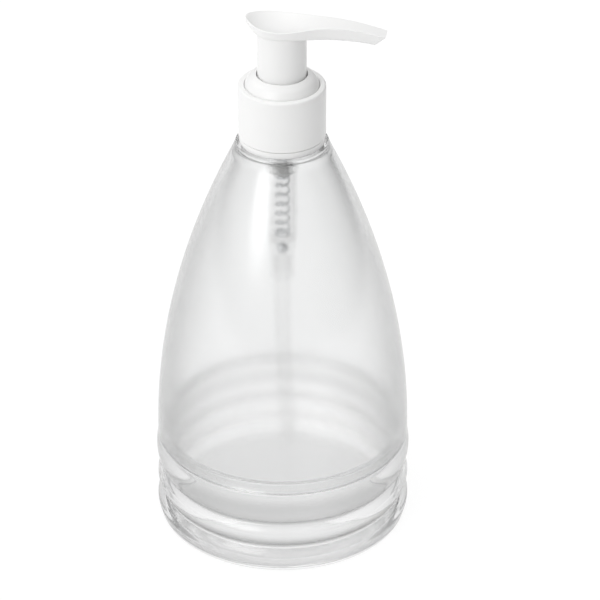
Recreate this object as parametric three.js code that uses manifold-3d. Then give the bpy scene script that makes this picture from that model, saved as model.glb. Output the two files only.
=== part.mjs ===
// A soap dispenser: a tall clear bottle on a ribbed clear base, closed by a screw-on lotion pump.
// Millimetres, +Z up. The origin is the centre of the base's underside, and the nozzle points along +X.
import * as THREE from "three";
import { mergeVertices } from "three/addons/utils/BufferGeometryUtils.js";
import Module from "manifold-3d";

const wasm = await Module();
wasm.setup();

// ---------------------------------------------------------------- driving dimensions

// Facets round a full turn.
const WIDE_FACETS = 40;
const NARROW_FACETS = 24;
const BALL_FACETS = 12;
const COIL_FACETS = 10; // steps along one coil of the spring
const TUBE_SIDES = 12;

// Clearances.
const SEAT_GAP = 0.15; // between faces that rest on each other
const JOINT_GAP = 0.3; // between the body and the base cup glued into it
const PRESS_GAP = 0.1; // round a piece that is pushed into its seat
const RUNNING_GAP = 0.3; // round a piece that slides or turns

// Base cup.
const BASE_RADIUS = 46.9;
const BASE_HEIGHT = 33.6;
const CUP_WALL = 3;
const CUP_FLOOR = 3.5;
const UNDERSIDE_RECESS = 1;
const FOOT_RING_WIDTH = 5;
const FOOT_ROUND = 1.6;
const CUP_CORNER = 4;
const LOWER_GROOVE_HEIGHT = 9.8;
const LOWER_GROOVE_DEPTH = 0.9;
const UPPER_GROOVE_HEIGHT = 19.6;
const UPPER_GROOVE_DEPTH = 1.4;
const RIM_STEP = 0.4; // how far the body stands back from the widest band
const LAP_HEIGHT = 4;
const LAP_WALL = 2;

// Body and neck.
const SHOULDER_HEIGHT = 154.8;
const SHOULDER_LEDGE = 1.4; // how far the shoulder's rim stands out from the collar
const SHOULDER_ROUND = 1.3;
const BODY_WALL = 1.9;
const NECK_BORE = 10.8;
const NECK_WALL = 1.85;
const NECK_LENGTH = 17.8;

// Screw thread between neck and cap.
const THREAD_PITCH = 4.233;
const THREAD_DEPTH = 0.95;
const THREAD_CREST = 0.9;
const THREAD_ROOT = 1.6;
const THREAD_TURNS = 1.5;
const THREAD_START = 5; // above the shoulder
const THREAD_STEPS_PER_TURN = 20;

// Closure.
const CAP_WALL = 0.9;
const CAP_WEB = 1.15;
const CAP_RIM_HEIGHT = 2.5;
const CAP_RIM_STEP = 0.3; // how far the cap's rim stands back from the sleeve
const SLEEVE_WALL = 0.65;
const SLEEVE_TOP = 1.05;
const SLEEVE_ROUND = 1.2;
const SLEEVE_LIP = 2.2; // width of the sleeve's flat top
const GASKET_THICKNESS = 0.7;

// Pump, fixed part.
const BARREL_WALL = 0.75;
const FLANGE_THICKNESS = 1.2;
const CYLINDER_BORE = 4.6;
const CYLINDER_WALL = 0.7;
const HOUSING_SHOULDER = 1.3;
const CHAPLET_WALL = 0.6;
const CHAPLET_EDGE = 1.3;
const DOME_RISE = 3.8;
const DOME_BULGE = 0.5;
const DOME_LIP = 0.5; // flat round the well
const WELL_FLOOR = 1;
const GUIDE_LENGTH = 5.5;
const GUIDE_WALL = 0.9;
const WIPER_THICKNESS = 1.3;
const WIPER_WIDTH = 3;
const CAGE_THICKNESS = 1;
const INLET_RADIUS = 1.3;
const BALL_RADIUS = 2;
const BALL_LIFT = 1.2;
const SEAT_CONE = 1.4; // rise and run of the cone under the inlet ball
const SOCKET_WALL = 1.1;
const SOCKET_LENGTH = 8;
const VENT_RADIUS = 0.4;

// Pump, moving part.
const STROKE = 15;
const SKIRT_WALL = 1.2;
const SKIRT_ENGAGEMENT = 7.35; // of the skirt inside the chaplet at rest
const HEAD_CLEARANCE = 0.95; // under the head when it is fully pressed
const STEM_RADIUS = 3.4;
const STEM_WALL = 1.1;
const STEM_SOCKET_WALL = 1.1;
const PISTON_LENGTH = 7;
const PISTON_PARK = 4.7; // from the top of the cylinder down to the parked piston
const LIP_LENGTH = 1.6;
const ROD_WALL = 1;
const ROD_FLANGE = 1;
const ROD_GRIP = 4; // length of the rod inside the stem
const PORT_RADIUS = 0.6;
const SPRING_LENGTH = 26;
const SPRING_RADIUS = 2.45; // to the middle of the wire
const SPRING_WIRE = 0.7;
const SPRING_COILS = 9;

// Dip tube.
const TUBE_RADIUS = 3.1;
const TUBE_WALL = 0.8;
const TUBE_REACH = 28; // of the tube's end, sideways from the middle
const TUBE_END_CLEARANCE = 3;

// Head.
const PAD_OVERHANG = 0.3; // past the skirt, on each side
const PAD_REAR = 12.8;
const PAD_THICKNESS = 3.8;
const PAD_REAR_RISE = 2;
const PAD_REAR_EDGE = 1.6;
const DISH_DEPTH = 1.3;
const ROOF_THICKNESS = 2.8;
const NOZZLE_REACH = 36.6;
const NOZZLE_HALF_WIDTH = 3.2;
const NOZZLE_ROOT_HALF_WIDTH = 4.3;
const NOZZLE_ARCH = 1.1; // of the nozzle's top over the pad
const NOZZLE_HEIGHT = 5.2;
const NOZZLE_DROOP = 3.05;
const NOZZLE_UNDERCUT = 4.2;
const MOUTH_HEIGHT = 3.4;
const CHANNEL_RADIUS = 1.2;

// ---------------------------------------------------------------- sizes that follow

// Radii, from the neck's bore outwards.
const neckRadius = NECK_BORE + NECK_WALL;
const threadRadius = neckRadius + THREAD_DEPTH;
const capBore = threadRadius + RUNNING_GAP;
const capRadius = capBore + CAP_WALL;
const sleeveBore = capRadius + PRESS_GAP;
const collarRadius = sleeveBore + SLEEVE_WALL;
const shoulderRadius = collarRadius + SHOULDER_LEDGE;
const sleeveHole = collarRadius - SLEEVE_LIP;

// Radii, from the neck's bore inwards.
const barrelRadius = NECK_BORE - RUNNING_GAP;
const barrelBore = barrelRadius - BARREL_WALL;
const chapletRadius = barrelBore - PRESS_GAP;
const wellRadius = chapletRadius - CHAPLET_WALL;
const skirtRadius = wellRadius - RUNNING_GAP;
const flangeRadius = capBore - RUNNING_GAP;
const guideBore = STEM_RADIUS + RUNNING_GAP;
const cylinderRadius = CYLINDER_BORE + CYLINDER_WALL;
const stemBore = STEM_RADIUS - STEM_WALL;
const rodRadius = stemBore - PRESS_GAP;
const rodBore = rodRadius - ROD_WALL;

// Heights, from the shoulder upwards.
const capBottom = SHOULDER_HEIGHT + RUNNING_GAP;
const lipHeight = SHOULDER_HEIGHT + NECK_LENGTH;
const gasketBottom = lipHeight + SEAT_GAP;
const flangeBottom = gasketBottom + GASKET_THICKNESS + SEAT_GAP;
const flangeTop = flangeBottom + FLANGE_THICKNESS;
const webBottom = flangeTop + SEAT_GAP;
const webTop = webBottom + CAP_WEB;
const sleeveTop = webTop + SEAT_GAP + SLEEVE_TOP;
const sleeveBottom = capBottom + CAP_RIM_HEIGHT + RUNNING_GAP;
const domeEdge = webTop + SEAT_GAP + CHAPLET_EDGE;
const domeTop = domeEdge + DOME_RISE;
const headBottom = domeTop + STROKE + HEAD_CLEARANCE;

// Heights, from the dome downwards.
const skirtBottom = domeTop - SKIRT_ENGAGEMENT;
const wellFloorTop = skirtBottom - STROKE - RUNNING_GAP;
const chapletBottom = wellFloorTop - WELL_FLOOR;
const guideTop = wellFloorTop + GUIDE_LENGTH;
const wiperBottom = chapletBottom - SEAT_GAP - WIPER_THICKNESS;
const housingStep = wiperBottom - SEAT_GAP;
const cylinderTop = housingStep - HOUSING_SHOULDER;
const pistonTop = cylinderTop - PISTON_PARK;
const pistonBottom = pistonTop - PISTON_LENGTH;
const stemBottom = pistonTop + SEAT_GAP;
const rodFlangeTop = pistonBottom - SEAT_GAP;
const springTop = rodFlangeTop - ROD_FLANGE - SEAT_GAP;
const springBottom = springTop - SPRING_LENGTH;
const cageTop = springBottom - SEAT_GAP;
const cageBottom = cageTop - CAGE_THICKNESS;
const cylinderFloor = cageBottom - PRESS_GAP;
const ballSeatEdge = cylinderFloor - BALL_LIFT - 2 * BALL_RADIUS - RUNNING_GAP;
const inletBallHeight = ballSeatEdge - INLET_RADIUS + (BALL_RADIUS + PRESS_GAP) * Math.SQRT2;
const socketTop = ballSeatEdge - 1.5 * SEAT_CONE;
const socketBottom = socketTop - SOCKET_LENGTH;
const tubeTop = socketTop - SEAT_GAP;

// Heights inside the head.
const stemSocketBottom = guideTop + STROKE + 2 * RUNNING_GAP;
const padTop = headBottom + PAD_THICKNESS;
const nozzleTop = padTop + NOZZLE_ARCH;
const tipTop = nozzleTop - NOZZLE_DROOP;
const tipBottom = tipTop - MOUTH_HEIGHT;
const roofBottom = headBottom - ROOF_THICKNESS;
const chamberTop = headBottom + RUNNING_GAP;
const stemTop = chamberTop - 2 * BALL_RADIUS - BALL_LIFT;
const chamberRadius = BALL_RADIUS + 2 * RUNNING_GAP;
const outletBallHeight = stemTop + Math.sqrt(BALL_RADIUS ** 2 - INLET_RADIUS ** 2) + PRESS_GAP;

// Body.
const bodyRadius = BASE_RADIUS - RIM_STEP;
const bodyBottom = BASE_HEIGHT + JOINT_GAP;
const cupFloorTop = UNDERSIDE_RECESS + CUP_FLOOR;

// ---------------------------------------------------------------- geometry helpers

const point = (x, y) => new THREE.Vector2(x, y);

// A closed geometry as a solid that can be joined and cut.
function solidOf(geometry) {
  const bare = geometry.index ? geometry.toNonIndexed() : geometry.clone();
  bare.deleteAttribute("normal");
  bare.deleteAttribute("uv");
  const merged = mergeVertices(bare, 1e-4);
  const corners = merged.index.array;
  const kept = [];
  for (let i = 0; i < corners.length; i += 3) {
    const [a, b, c] = [corners[i], corners[i + 1], corners[i + 2]];
    if (a !== b && b !== c && c !== a) kept.push(a, b, c);
  }
  return new wasm.Manifold(
    new wasm.Mesh({
      numProp: 3,
      vertProperties: new Float32Array(merged.attributes.position.array),
      triVerts: new Uint32Array(kept),
    }),
  );
}

// A solid as a named mesh.
function meshOf(name, solid, material) {
  const { vertProperties, triVerts } = solid.getMesh();
  const geometry = new THREE.BufferGeometry();
  geometry.setAttribute("position", new THREE.BufferAttribute(vertProperties, 3));
  geometry.setIndex(new THREE.BufferAttribute(triVerts, 1));
  geometry.computeVertexNormals();
  const mesh = new THREE.Mesh(geometry, material);
  mesh.name = name;
  return mesh;
}

// An outline of radius and height points, turned about the Z axis.
function turned(outline, facets) {
  const onAxis = outline[0].x === 0;
  const points = onAxis ? [...outline] : [...outline, outline[0]];
  if (THREE.ShapeUtils.area(points) < 0) points.reverse();
  const geometry = new THREE.LatheGeometry(points, facets);
  geometry.rotateX(Math.PI / 2);
  return solidOf(geometry);
}

// A plain ring, given as inner and outer radius, bottom and top.
function ring(inner, outer, bottom, top, facets) {
  const outline = [point(inner, bottom), point(outer, bottom), point(outer, top), point(inner, top)];
  return turned(outline, facets);
}

// A plain upright cylinder about the Z axis.
function rod(radius, bottom, top, facets) {
  const geometry = new THREE.CylinderGeometry(radius, radius, top - bottom, facets);
  geometry.rotateX(Math.PI / 2);
  geometry.translate(0, 0, (bottom + top) / 2);
  return solidOf(geometry);
}

// A ball centred on the Z axis.
function ball(radius, height) {
  const geometry = new THREE.SphereGeometry(radius, BALL_FACETS, BALL_FACETS / 2);
  geometry.rotateX(Math.PI / 2);
  geometry.translate(0, 0, height);
  return solidOf(geometry);
}

// Points on a circular arc between two angles, in degrees anticlockwise from the outline's radius axis.
function arc(centreX, centreY, radius, from, to, steps) {
  const points = [];
  for (let i = 0; i <= steps; i += 1) {
    const angle = THREE.MathUtils.degToRad(from + ((to - from) * i) / steps);
    points.push(point(centreX + radius * Math.cos(angle), centreY + radius * Math.sin(angle)));
  }
  return points;
}

// A shallow outward bow between two outline points, without its two ends.
function bow(start, end, bulge, steps) {
  const points = [];
  for (let i = 1; i < steps; i += 1) {
    const share = i / steps;
    const between = start.clone().lerp(end, share);
    between.x += bulge * 4 * share * (1 - share);
    points.push(between);
  }
  return points;
}

// A section of half-width and half-height points, run along a curve.
function sweep(shape, curve, steps) {
  return solidOf(new THREE.ExtrudeGeometry(shape, { steps, extrudePath: curve, bevelEnabled: false }));
}

// A round section, with a hole when an inner radius is given.
function roundSection(radius, innerRadius, sides) {
  const section = new THREE.Shape(arc(0, 0, radius, 0, 360 - 360 / sides, sides - 1));
  if (innerRadius > 0) {
    section.holes.push(new THREE.Path(arc(0, 0, innerRadius, 0, 360 - 360 / sides, sides - 1)));
  }
  return section;
}

// A right-handed helix about the Z axis.
class Helix extends THREE.Curve {
  constructor(radius, pitch, turns, bottom, startAngle) {
    super();
    Object.assign(this, { radius, pitch, turns, bottom, startAngle });
  }

  getPoint(share, target = new THREE.Vector3()) {
    const angle = this.startAngle + share * this.turns * 2 * Math.PI;
    const height = this.bottom + share * this.turns * this.pitch;
    return target.set(this.radius * Math.cos(angle), this.radius * Math.sin(angle), height);
  }
}

// A screw thread: a ridge with sloping flanks on a wall of the given radius. A positive depth stands
// outwards and a negative one inwards. The ridge is rooted a little inside its wall.
function threadRidge(wallRadius, depth, bottom, startAngle) {
  const rooted = 0.3 * Math.sign(depth);
  const stations = Math.round(THREAD_TURNS * THREAD_STEPS_PER_TURN);
  const positions = [];
  const faces = [];
  const section = [
    [-rooted, -THREAD_ROOT / 2],
    [depth, -THREAD_CREST / 2],
    [depth, THREAD_CREST / 2],
    [-rooted, THREAD_ROOT / 2],
  ];
  for (let i = 0; i <= stations; i += 1) {
    const angle = startAngle + (i / THREAD_STEPS_PER_TURN) * 2 * Math.PI;
    const rise = bottom + (i / THREAD_STEPS_PER_TURN) * THREAD_PITCH;
    const endTaper = i === 0 || i === stations ? 0.35 : 1;
    for (const [out, up] of section) {
      const radius = wallRadius + (out === depth ? out * endTaper : out);
      positions.push(radius * Math.cos(angle), radius * Math.sin(angle), rise + up);
    }
  }
  const corners = section.length;
  for (let i = 0; i < stations; i += 1) {
    for (let k = 0; k < corners; k += 1) {
      const a = i * corners + k;
      const b = i * corners + ((k + 1) % corners);
      faces.push(a, b, b + corners, a, b + corners, a + corners);
    }
  }
  const last = stations * corners;
  faces.push(0, 2, 1, 0, 3, 2, last, last + 1, last + 2, last, last + 2, last + 3);
  if (depth > 0) faces.reverse();
  const geometry = new THREE.BufferGeometry();
  geometry.setAttribute("position", new THREE.Float32BufferAttribute(positions, 3));
  geometry.setIndex(faces);
  return solidOf(geometry);
}

// ---------------------------------------------------------------- materials

const clearPlastic = new THREE.MeshStandardMaterial({
  color: 0xf4f6f6,
  roughness: 0.05,
  metalness: 0,
  transparent: true,
  opacity: 0.35,
});
const frostedPlastic = new THREE.MeshStandardMaterial({
  color: 0xeff1f1,
  roughness: 0.3,
  metalness: 0,
  transparent: true,
  opacity: 0.45,
});
const whitePlastic = new THREE.MeshStandardMaterial({ color: 0xf3f3f2, roughness: 0.35, metalness: 0 });
const naturalPlastic = new THREE.MeshStandardMaterial({
  color: 0xe6e8e8,
  roughness: 0.25,
  metalness: 0,
  transparent: true,
  opacity: 0.6,
});
const sealRubber = new THREE.MeshStandardMaterial({ color: 0xdddcd8, roughness: 0.6, metalness: 0 });
const steel = new THREE.MeshStandardMaterial({ color: 0xa9adb0, roughness: 0.3, metalness: 1 });

// ---------------------------------------------------------------- bottle

// Outer or inner side of the body: a parabola that is upright at the base and leans in to the shoulder.
function bodySide(inset, steps) {
  const bottom = point(bodyRadius - inset, bodyBottom);
  const top = point(shoulderRadius - inset, SHOULDER_HEIGHT - SHOULDER_ROUND - inset * 0.6);
  const middle = point(bottom.x, (bottom.y + top.y) / 2);
  return new THREE.QuadraticBezierCurve(bottom, middle, top).getPoints(steps);
}

function bottleBody() {
  const ledge = shoulderRadius - SHOULDER_ROUND;
  const outline = [
    ...bodySide(0, 10),
    ...arc(ledge, SHOULDER_HEIGHT - SHOULDER_ROUND, SHOULDER_ROUND, 30, 90, 2),
    point(neckRadius, SHOULDER_HEIGHT),
    point(neckRadius, lipHeight - 0.4),
    point(neckRadius - 0.4, lipHeight),
    point(NECK_BORE, lipHeight),
    point(NECK_BORE, SHOULDER_HEIGHT - BODY_WALL / 2),
    ...bodySide(BODY_WALL, 8).reverse(),
  ];
  const shell = turned(outline, WIDE_FACETS);
  const thread = threadRidge(neckRadius, THREAD_DEPTH, SHOULDER_HEIGHT + THREAD_START, 0);
  return meshOf("bottle_body", shell.add(thread), frostedPlastic);
}

function baseCup() {
  const foot = point(BASE_RADIUS - LOWER_GROOVE_DEPTH / 2, FOOT_ROUND);
  const lowerGroove = point(BASE_RADIUS - LOWER_GROOVE_DEPTH, LOWER_GROOVE_HEIGHT);
  const upperGroove = point(BASE_RADIUS - UPPER_GROOVE_DEPTH, UPPER_GROOVE_HEIGHT);
  const rim = point(bodyRadius, BASE_HEIGHT);
  const cupBore = BASE_RADIUS - CUP_WALL;
  const lapRadius = bodyRadius - BODY_WALL - JOINT_GAP;
  const lapBore = Math.min(cupBore, lapRadius - LAP_WALL);
  const lapTop = BASE_HEIGHT + LAP_HEIGHT;
  const footRing = BASE_RADIUS - FOOT_RING_WIDTH;
  const outline = [
    point(0, UNDERSIDE_RECESS),
    point(footRing - 2 * UNDERSIDE_RECESS, UNDERSIDE_RECESS),
    point(footRing, 0),
    point(foot.x - FOOT_ROUND, 0),
    ...arc(foot.x - FOOT_ROUND, FOOT_ROUND, FOOT_ROUND, -60, 0, 2),
    ...bow(foot, lowerGroove, LOWER_GROOVE_DEPTH * 0.75, 3),
    lowerGroove,
    ...bow(lowerGroove, upperGroove, (LOWER_GROOVE_DEPTH + UPPER_GROOVE_DEPTH) / 2, 4),
    upperGroove,
    ...bow(upperGroove, rim, (UPPER_GROOVE_DEPTH + RIM_STEP) / 2, 4),
    rim,
    point(lapRadius, BASE_HEIGHT),
    point(lapRadius, lapTop),
    point(lapBore, lapTop),
    ...arc(lapBore - CUP_CORNER, cupFloorTop + CUP_CORNER, CUP_CORNER, 0, -90, 3),
    point(0, cupFloorTop),
  ];
  return meshOf("base_cup", turned(outline, WIDE_FACETS), clearPlastic);
}

// ---------------------------------------------------------------- closure

function innerCap() {
  const rimRadius = collarRadius - CAP_RIM_STEP;
  const rimTop = capBottom + CAP_RIM_HEIGHT;
  const webHole = chapletRadius + RUNNING_GAP;
  const outline = [
    point(capBore, capBottom),
    point(rimRadius - 0.3, capBottom),
    point(rimRadius, capBottom + 0.3),
    point(rimRadius, rimTop),
    point(capRadius, rimTop),
    point(capRadius, webTop),
    point(webHole, webTop),
    point(webHole, webBottom),
    point(capBore, webBottom),
  ];
  const threadBottom = SHOULDER_HEIGHT + THREAD_START - THREAD_PITCH / 2;
  const thread = threadRidge(capBore, -THREAD_DEPTH, threadBottom, 0);
  return meshOf("inner_cap", turned(outline, NARROW_FACETS).add(thread), whitePlastic);
}

function capSleeve() {
  const outline = [
    point(sleeveBore, sleeveBottom),
    point(collarRadius, sleeveBottom),
    ...arc(collarRadius - SLEEVE_ROUND, sleeveTop - SLEEVE_ROUND, SLEEVE_ROUND, 0, 90, 3),
    point(sleeveHole, sleeveTop - 0.2),
    point(sleeveHole, sleeveTop - SLEEVE_TOP),
    point(sleeveBore, sleeveTop - SLEEVE_TOP),
  ];
  return meshOf("cap_sleeve", turned(outline, WIDE_FACETS), whitePlastic);
}

function neckGasket() {
  const solid = ring(NECK_BORE, flangeRadius, gasketBottom, gasketBottom + GASKET_THICKNESS, NARROW_FACETS);
  return meshOf("neck_gasket", solid, sealRubber);
}

// ---------------------------------------------------------------- pump, fixed part

function pumpHousing() {
  const socketRadius = TUBE_RADIUS + PRESS_GAP + SOCKET_WALL;
  const chamber = INLET_RADIUS + SEAT_CONE;
  const outline = [
    point(flangeRadius, flangeBottom),
    point(flangeRadius, flangeTop),
    point(barrelBore, flangeTop),
    point(barrelBore, housingStep),
    point(CYLINDER_BORE, housingStep),
    point(CYLINDER_BORE, cylinderFloor),
    point(chamber, cylinderFloor),
    point(chamber, ballSeatEdge + SEAT_CONE),
    point(INLET_RADIUS, ballSeatEdge),
    point(INLET_RADIUS, socketTop),
    point(TUBE_RADIUS + PRESS_GAP, socketTop),
    point(TUBE_RADIUS + PRESS_GAP, socketBottom),
    point(socketRadius, socketBottom),
    point(socketRadius, ballSeatEdge),
    point(cylinderRadius, cylinderFloor),
    point(cylinderRadius, cylinderTop - 1),
    point(cylinderRadius + 1, cylinderTop),
    point(barrelRadius - 1, cylinderTop),
    point(barrelRadius, cylinderTop + 1),
    point(barrelRadius, flangeBottom),
  ];
  const vent = new THREE.CylinderGeometry(VENT_RADIUS, VENT_RADIUS, 2 * CYLINDER_WALL + 1, 10);
  vent.translate(0, (CYLINDER_BORE + cylinderRadius) / 2, cylinderTop - PISTON_PARK / 2);
  const housing = turned(outline, NARROW_FACETS).subtract(solidOf(vent));
  return meshOf("pump_housing", housing, naturalPlastic);
}

function chaplet() {
  const edgeRadius = sleeveHole - SEAT_GAP;
  const seat = webTop + SEAT_GAP;
  const domeStart = point(edgeRadius - 0.3, domeEdge);
  const domeEnd = point(wellRadius + DOME_LIP, domeTop);
  const outline = [
    point(edgeRadius, seat),
    point(edgeRadius, domeEdge - 0.3),
    domeStart,
    ...bow(domeStart, domeEnd, DOME_BULGE, 4),
    domeEnd,
    point(wellRadius, domeTop),
    point(wellRadius, wellFloorTop),
    point(guideBore + GUIDE_WALL, wellFloorTop),
    point(guideBore + GUIDE_WALL, guideTop),
    point(guideBore, guideTop),
    point(guideBore, chapletBottom),
    point(chapletRadius, chapletBottom),
    point(chapletRadius, seat),
  ];
  return meshOf("chaplet", turned(outline, NARROW_FACETS), whitePlastic);
}

function stemWiper() {
  const inner = STEM_RADIUS + PRESS_GAP;
  const solid = ring(inner, inner + WIPER_WIDTH, wiperBottom, wiperBottom + WIPER_THICKNESS, NARROW_FACETS);
  return meshOf("stem_wiper", solid, sealRubber);
}

function ballCage() {
  const solid = ring(INLET_RADIUS, CYLINDER_BORE - PRESS_GAP, cageBottom, cageTop, NARROW_FACETS);
  return meshOf("ball_cage", solid, naturalPlastic);
}

function inletBall() {
  return meshOf("inlet_ball", ball(BALL_RADIUS, inletBallHeight), steel);
}

function returnSpring() {
  const rise = SPRING_LENGTH - SPRING_WIRE;
  const wire = new Helix(
    SPRING_RADIUS,
    rise / SPRING_COILS,
    SPRING_COILS,
    springBottom + SPRING_WIRE / 2,
    0,
  );
  const section = roundSection(SPRING_WIRE / 2, 0, 5);
  return meshOf("return_spring", sweep(section, wire, SPRING_COILS * COIL_FACETS), steel);
}

function dipTube() {
  const bend = new THREE.CubicBezierCurve3(
    new THREE.Vector3(0, 0, socketBottom - 1),
    new THREE.Vector3(0, 0, socketBottom * 0.55),
    new THREE.Vector3(0, TUBE_REACH * 0.4, socketBottom * 0.35),
    new THREE.Vector3(-1.5, TUBE_REACH, cupFloorTop + TUBE_END_CLEARANCE + TUBE_RADIUS / 2),
  );
  const path = new THREE.CurvePath();
  path.add(new THREE.LineCurve3(new THREE.Vector3(0, 0, tubeTop), bend.v0));
  path.add(bend);
  const section = roundSection(TUBE_RADIUS, TUBE_RADIUS - TUBE_WALL, TUBE_SIDES);
  return meshOf("dip_tube", sweep(section, path, 16), naturalPlastic);
}

// ---------------------------------------------------------------- pump, moving part

function piston() {
  const inner = rodRadius + PRESS_GAP;
  const lip = CYLINDER_BORE - PRESS_GAP;
  const waist = (inner + lip) / 2;
  const outline = [
    point(inner, pistonBottom),
    point(lip - 0.6, pistonBottom),
    point(lip, pistonBottom + LIP_LENGTH * 0.4),
    point(waist, pistonBottom + LIP_LENGTH),
    point(waist, pistonTop - LIP_LENGTH),
    point(lip, pistonTop - LIP_LENGTH * 0.4),
    point(lip - 0.6, pistonTop),
    point(inner, pistonTop),
  ];
  return meshOf("piston", turned(outline, NARROW_FACETS), sealRubber);
}

function pistonRod() {
  const flangeBottomHeight = rodFlangeTop - ROD_FLANGE;
  const flangeOuter = SPRING_RADIUS + SPRING_WIRE;
  const rodTop = stemBottom + ROD_GRIP;
  const outline = [
    point(0, flangeBottomHeight),
    point(flangeOuter, flangeBottomHeight),
    point(flangeOuter, rodFlangeTop),
    point(rodRadius, rodFlangeTop),
    point(rodRadius, rodTop),
    point(rodBore, rodTop),
    point(rodBore, rodFlangeTop),
    point(0, rodFlangeTop),
  ];
  const port = new THREE.CylinderGeometry(PORT_RADIUS, PORT_RADIUS, 3 * rodRadius, 10);
  port.translate(0, 0, rodFlangeTop + 2 * PORT_RADIUS);
  return meshOf("piston_rod", turned(outline, NARROW_FACETS).subtract(solidOf(port)), whitePlastic);
}

function plungerStem() {
  const outline = [
    point(stemBore, stemBottom),
    point(STEM_RADIUS, stemBottom),
    point(STEM_RADIUS, stemTop),
    point(INLET_RADIUS, stemTop),
    point(INLET_RADIUS, stemTop - STEM_WALL),
    point(stemBore, stemTop - 2 * STEM_WALL),
  ];
  return meshOf("plunger_stem", turned(outline, NARROW_FACETS), whitePlastic);
}

function outletBall() {
  return meshOf("outlet_ball", ball(BALL_RADIUS, outletBallHeight), steel);
}

// The head seen from above: a leaf that tapers into the nozzle.
function headPlan() {
  const half = skirtRadius + PAD_OVERHANG;
  const root = NOZZLE_ROOT_HALF_WIDTH;
  const shape = new THREE.Shape();
  shape.moveTo(-PAD_REAR, 0);
  shape.bezierCurveTo(-PAD_REAR, -half * 0.45, -half * 0.95, -half, -half * 0.15, -half);
  shape.bezierCurveTo(half * 0.6, -half, NOZZLE_REACH * 0.3, -root * 1.25, NOZZLE_REACH * 0.5, -root);
  shape.quadraticCurveTo(NOZZLE_REACH * 0.7, -NOZZLE_HALF_WIDTH * 1.05, NOZZLE_REACH - 1, -NOZZLE_HALF_WIDTH);
  shape.lineTo(NOZZLE_REACH, -NOZZLE_HALF_WIDTH + 1);
  const lower = shape.getPoints(6);
  const upper = lower.slice(1).reverse().map(({ x, y }) => point(x, -y));
  return new THREE.Shape([...lower, ...upper]);
}

// The head seen from the side: a pad with a lifted rear tip and a nozzle that droops to a slanted mouth.
function headSide() {
  const rearTop = padTop + PAD_REAR_RISE;
  const nozzleRoot = skirtRadius + PAD_OVERHANG;
  const underside = nozzleTop - NOZZLE_HEIGHT;
  const mouth = NOZZLE_REACH - NOZZLE_UNDERCUT;
  const shape = new THREE.Shape();
  shape.moveTo(-PAD_REAR, rearTop);
  shape.lineTo(-PAD_REAR, rearTop - PAD_REAR_EDGE);
  shape.quadraticCurveTo(-PAD_REAR * 0.9, headBottom, -PAD_REAR * 0.55, headBottom);
  shape.lineTo(nozzleRoot, headBottom - 0.4);
  shape.lineTo(NOZZLE_REACH * 0.55, underside);
  shape.quadraticCurveTo(NOZZLE_REACH * 0.75, underside, mouth, tipBottom);
  shape.lineTo(NOZZLE_REACH, tipTop);
  shape.quadraticCurveTo(NOZZLE_REACH * 0.75, nozzleTop - 0.1, NOZZLE_REACH * 0.45, nozzleTop);
  shape.bezierCurveTo(NOZZLE_REACH * 0.3, nozzleTop, NOZZLE_REACH * 0.2, padTop, 0, padTop);
  shape.quadraticCurveTo(-PAD_REAR * 0.5, padTop, -PAD_REAR, rearTop);
  return new THREE.Shape(shape.getPoints(6).slice(0, -1));
}

// The hollow of the thumb pad.
function thumbDish() {
  const half = skirtRadius + PAD_OVERHANG;
  const geometry = new THREE.SphereGeometry(1, 20, 10);
  geometry.rotateX(Math.PI / 2);
  const depth = DISH_DEPTH + 2;
  geometry.scale(half * 1.2, half * 0.95, depth);
  geometry.translate(-half * 0.25, 0, padTop - DISH_DEPTH + depth);
  return solidOf(geometry);
}

// The way from the ball chamber to the nozzle's mouth.
function outletChannel() {
  const middle = nozzleTop - NOZZLE_HEIGHT / 2;
  const mouth = (tipTop + tipBottom) / 2;
  const curve = new THREE.CatmullRomCurve3([
    new THREE.Vector3(0, 0, headBottom - CHANNEL_RADIUS),
    new THREE.Vector3(skirtRadius * 0.5, 0, headBottom - CHANNEL_RADIUS * 0.7),
    new THREE.Vector3(skirtRadius + 1, 0, middle - 0.5),
    new THREE.Vector3(NOZZLE_REACH * 0.5, 0, middle),
    new THREE.Vector3(NOZZLE_REACH * 0.78, 0, middle - NOZZLE_DROOP * 0.35),
    new THREE.Vector3(NOZZLE_REACH - NOZZLE_UNDERCUT / 2, 0, mouth),
    new THREE.Vector3(NOZZLE_REACH + 2, 0, mouth - 1.2),
  ]);
  return sweep(roundSection(CHANNEL_RADIUS, 0, 8), curve, 14);
}

function actuator() {
  const height = PAD_THICKNESS + PAD_REAR_RISE + 20;
  const plan = new THREE.ExtrudeGeometry(headPlan(), { depth: 2 * height, bevelEnabled: false });
  plan.translate(0, 0, headBottom - height);
  const side = new THREE.ExtrudeGeometry(headSide(), { depth: 4 * skirtRadius, bevelEnabled: false });
  side.rotateX(Math.PI / 2);
  side.translate(0, 2 * skirtRadius, 0);
  const head = solidOf(plan).intersect(solidOf(side)).subtract(thumbDish());
  const skirt = ring(skirtRadius - SKIRT_WALL, skirtRadius, skirtBottom, headBottom + 0.5, NARROW_FACETS);
  const roof = rod(skirtRadius - SKIRT_WALL / 2, roofBottom, headBottom + 0.5, NARROW_FACETS);
  const socketBore = STEM_RADIUS + PRESS_GAP;
  const socket = rod(socketBore + STEM_SOCKET_WALL, stemSocketBottom, headBottom, NARROW_FACETS);
  const stemHole = rod(socketBore, stemSocketBottom - 1, stemTop + PRESS_GAP, NARROW_FACETS);
  const chamber = rod(chamberRadius, stemTop - 1, chamberTop, NARROW_FACETS);
  const solid = head
    .add(skirt)
    .add(roof)
    .add(socket)
    .subtract(stemHole)
    .subtract(chamber)
    .subtract(outletChannel());
  return meshOf("actuator", solid, whitePlastic);
}

// ---------------------------------------------------------------- assembly

const bottle = new THREE.Group();
bottle.add(bottleBody(), baseCup());

const closure = new THREE.Group();
closure.add(innerCap(), capSleeve());

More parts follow.
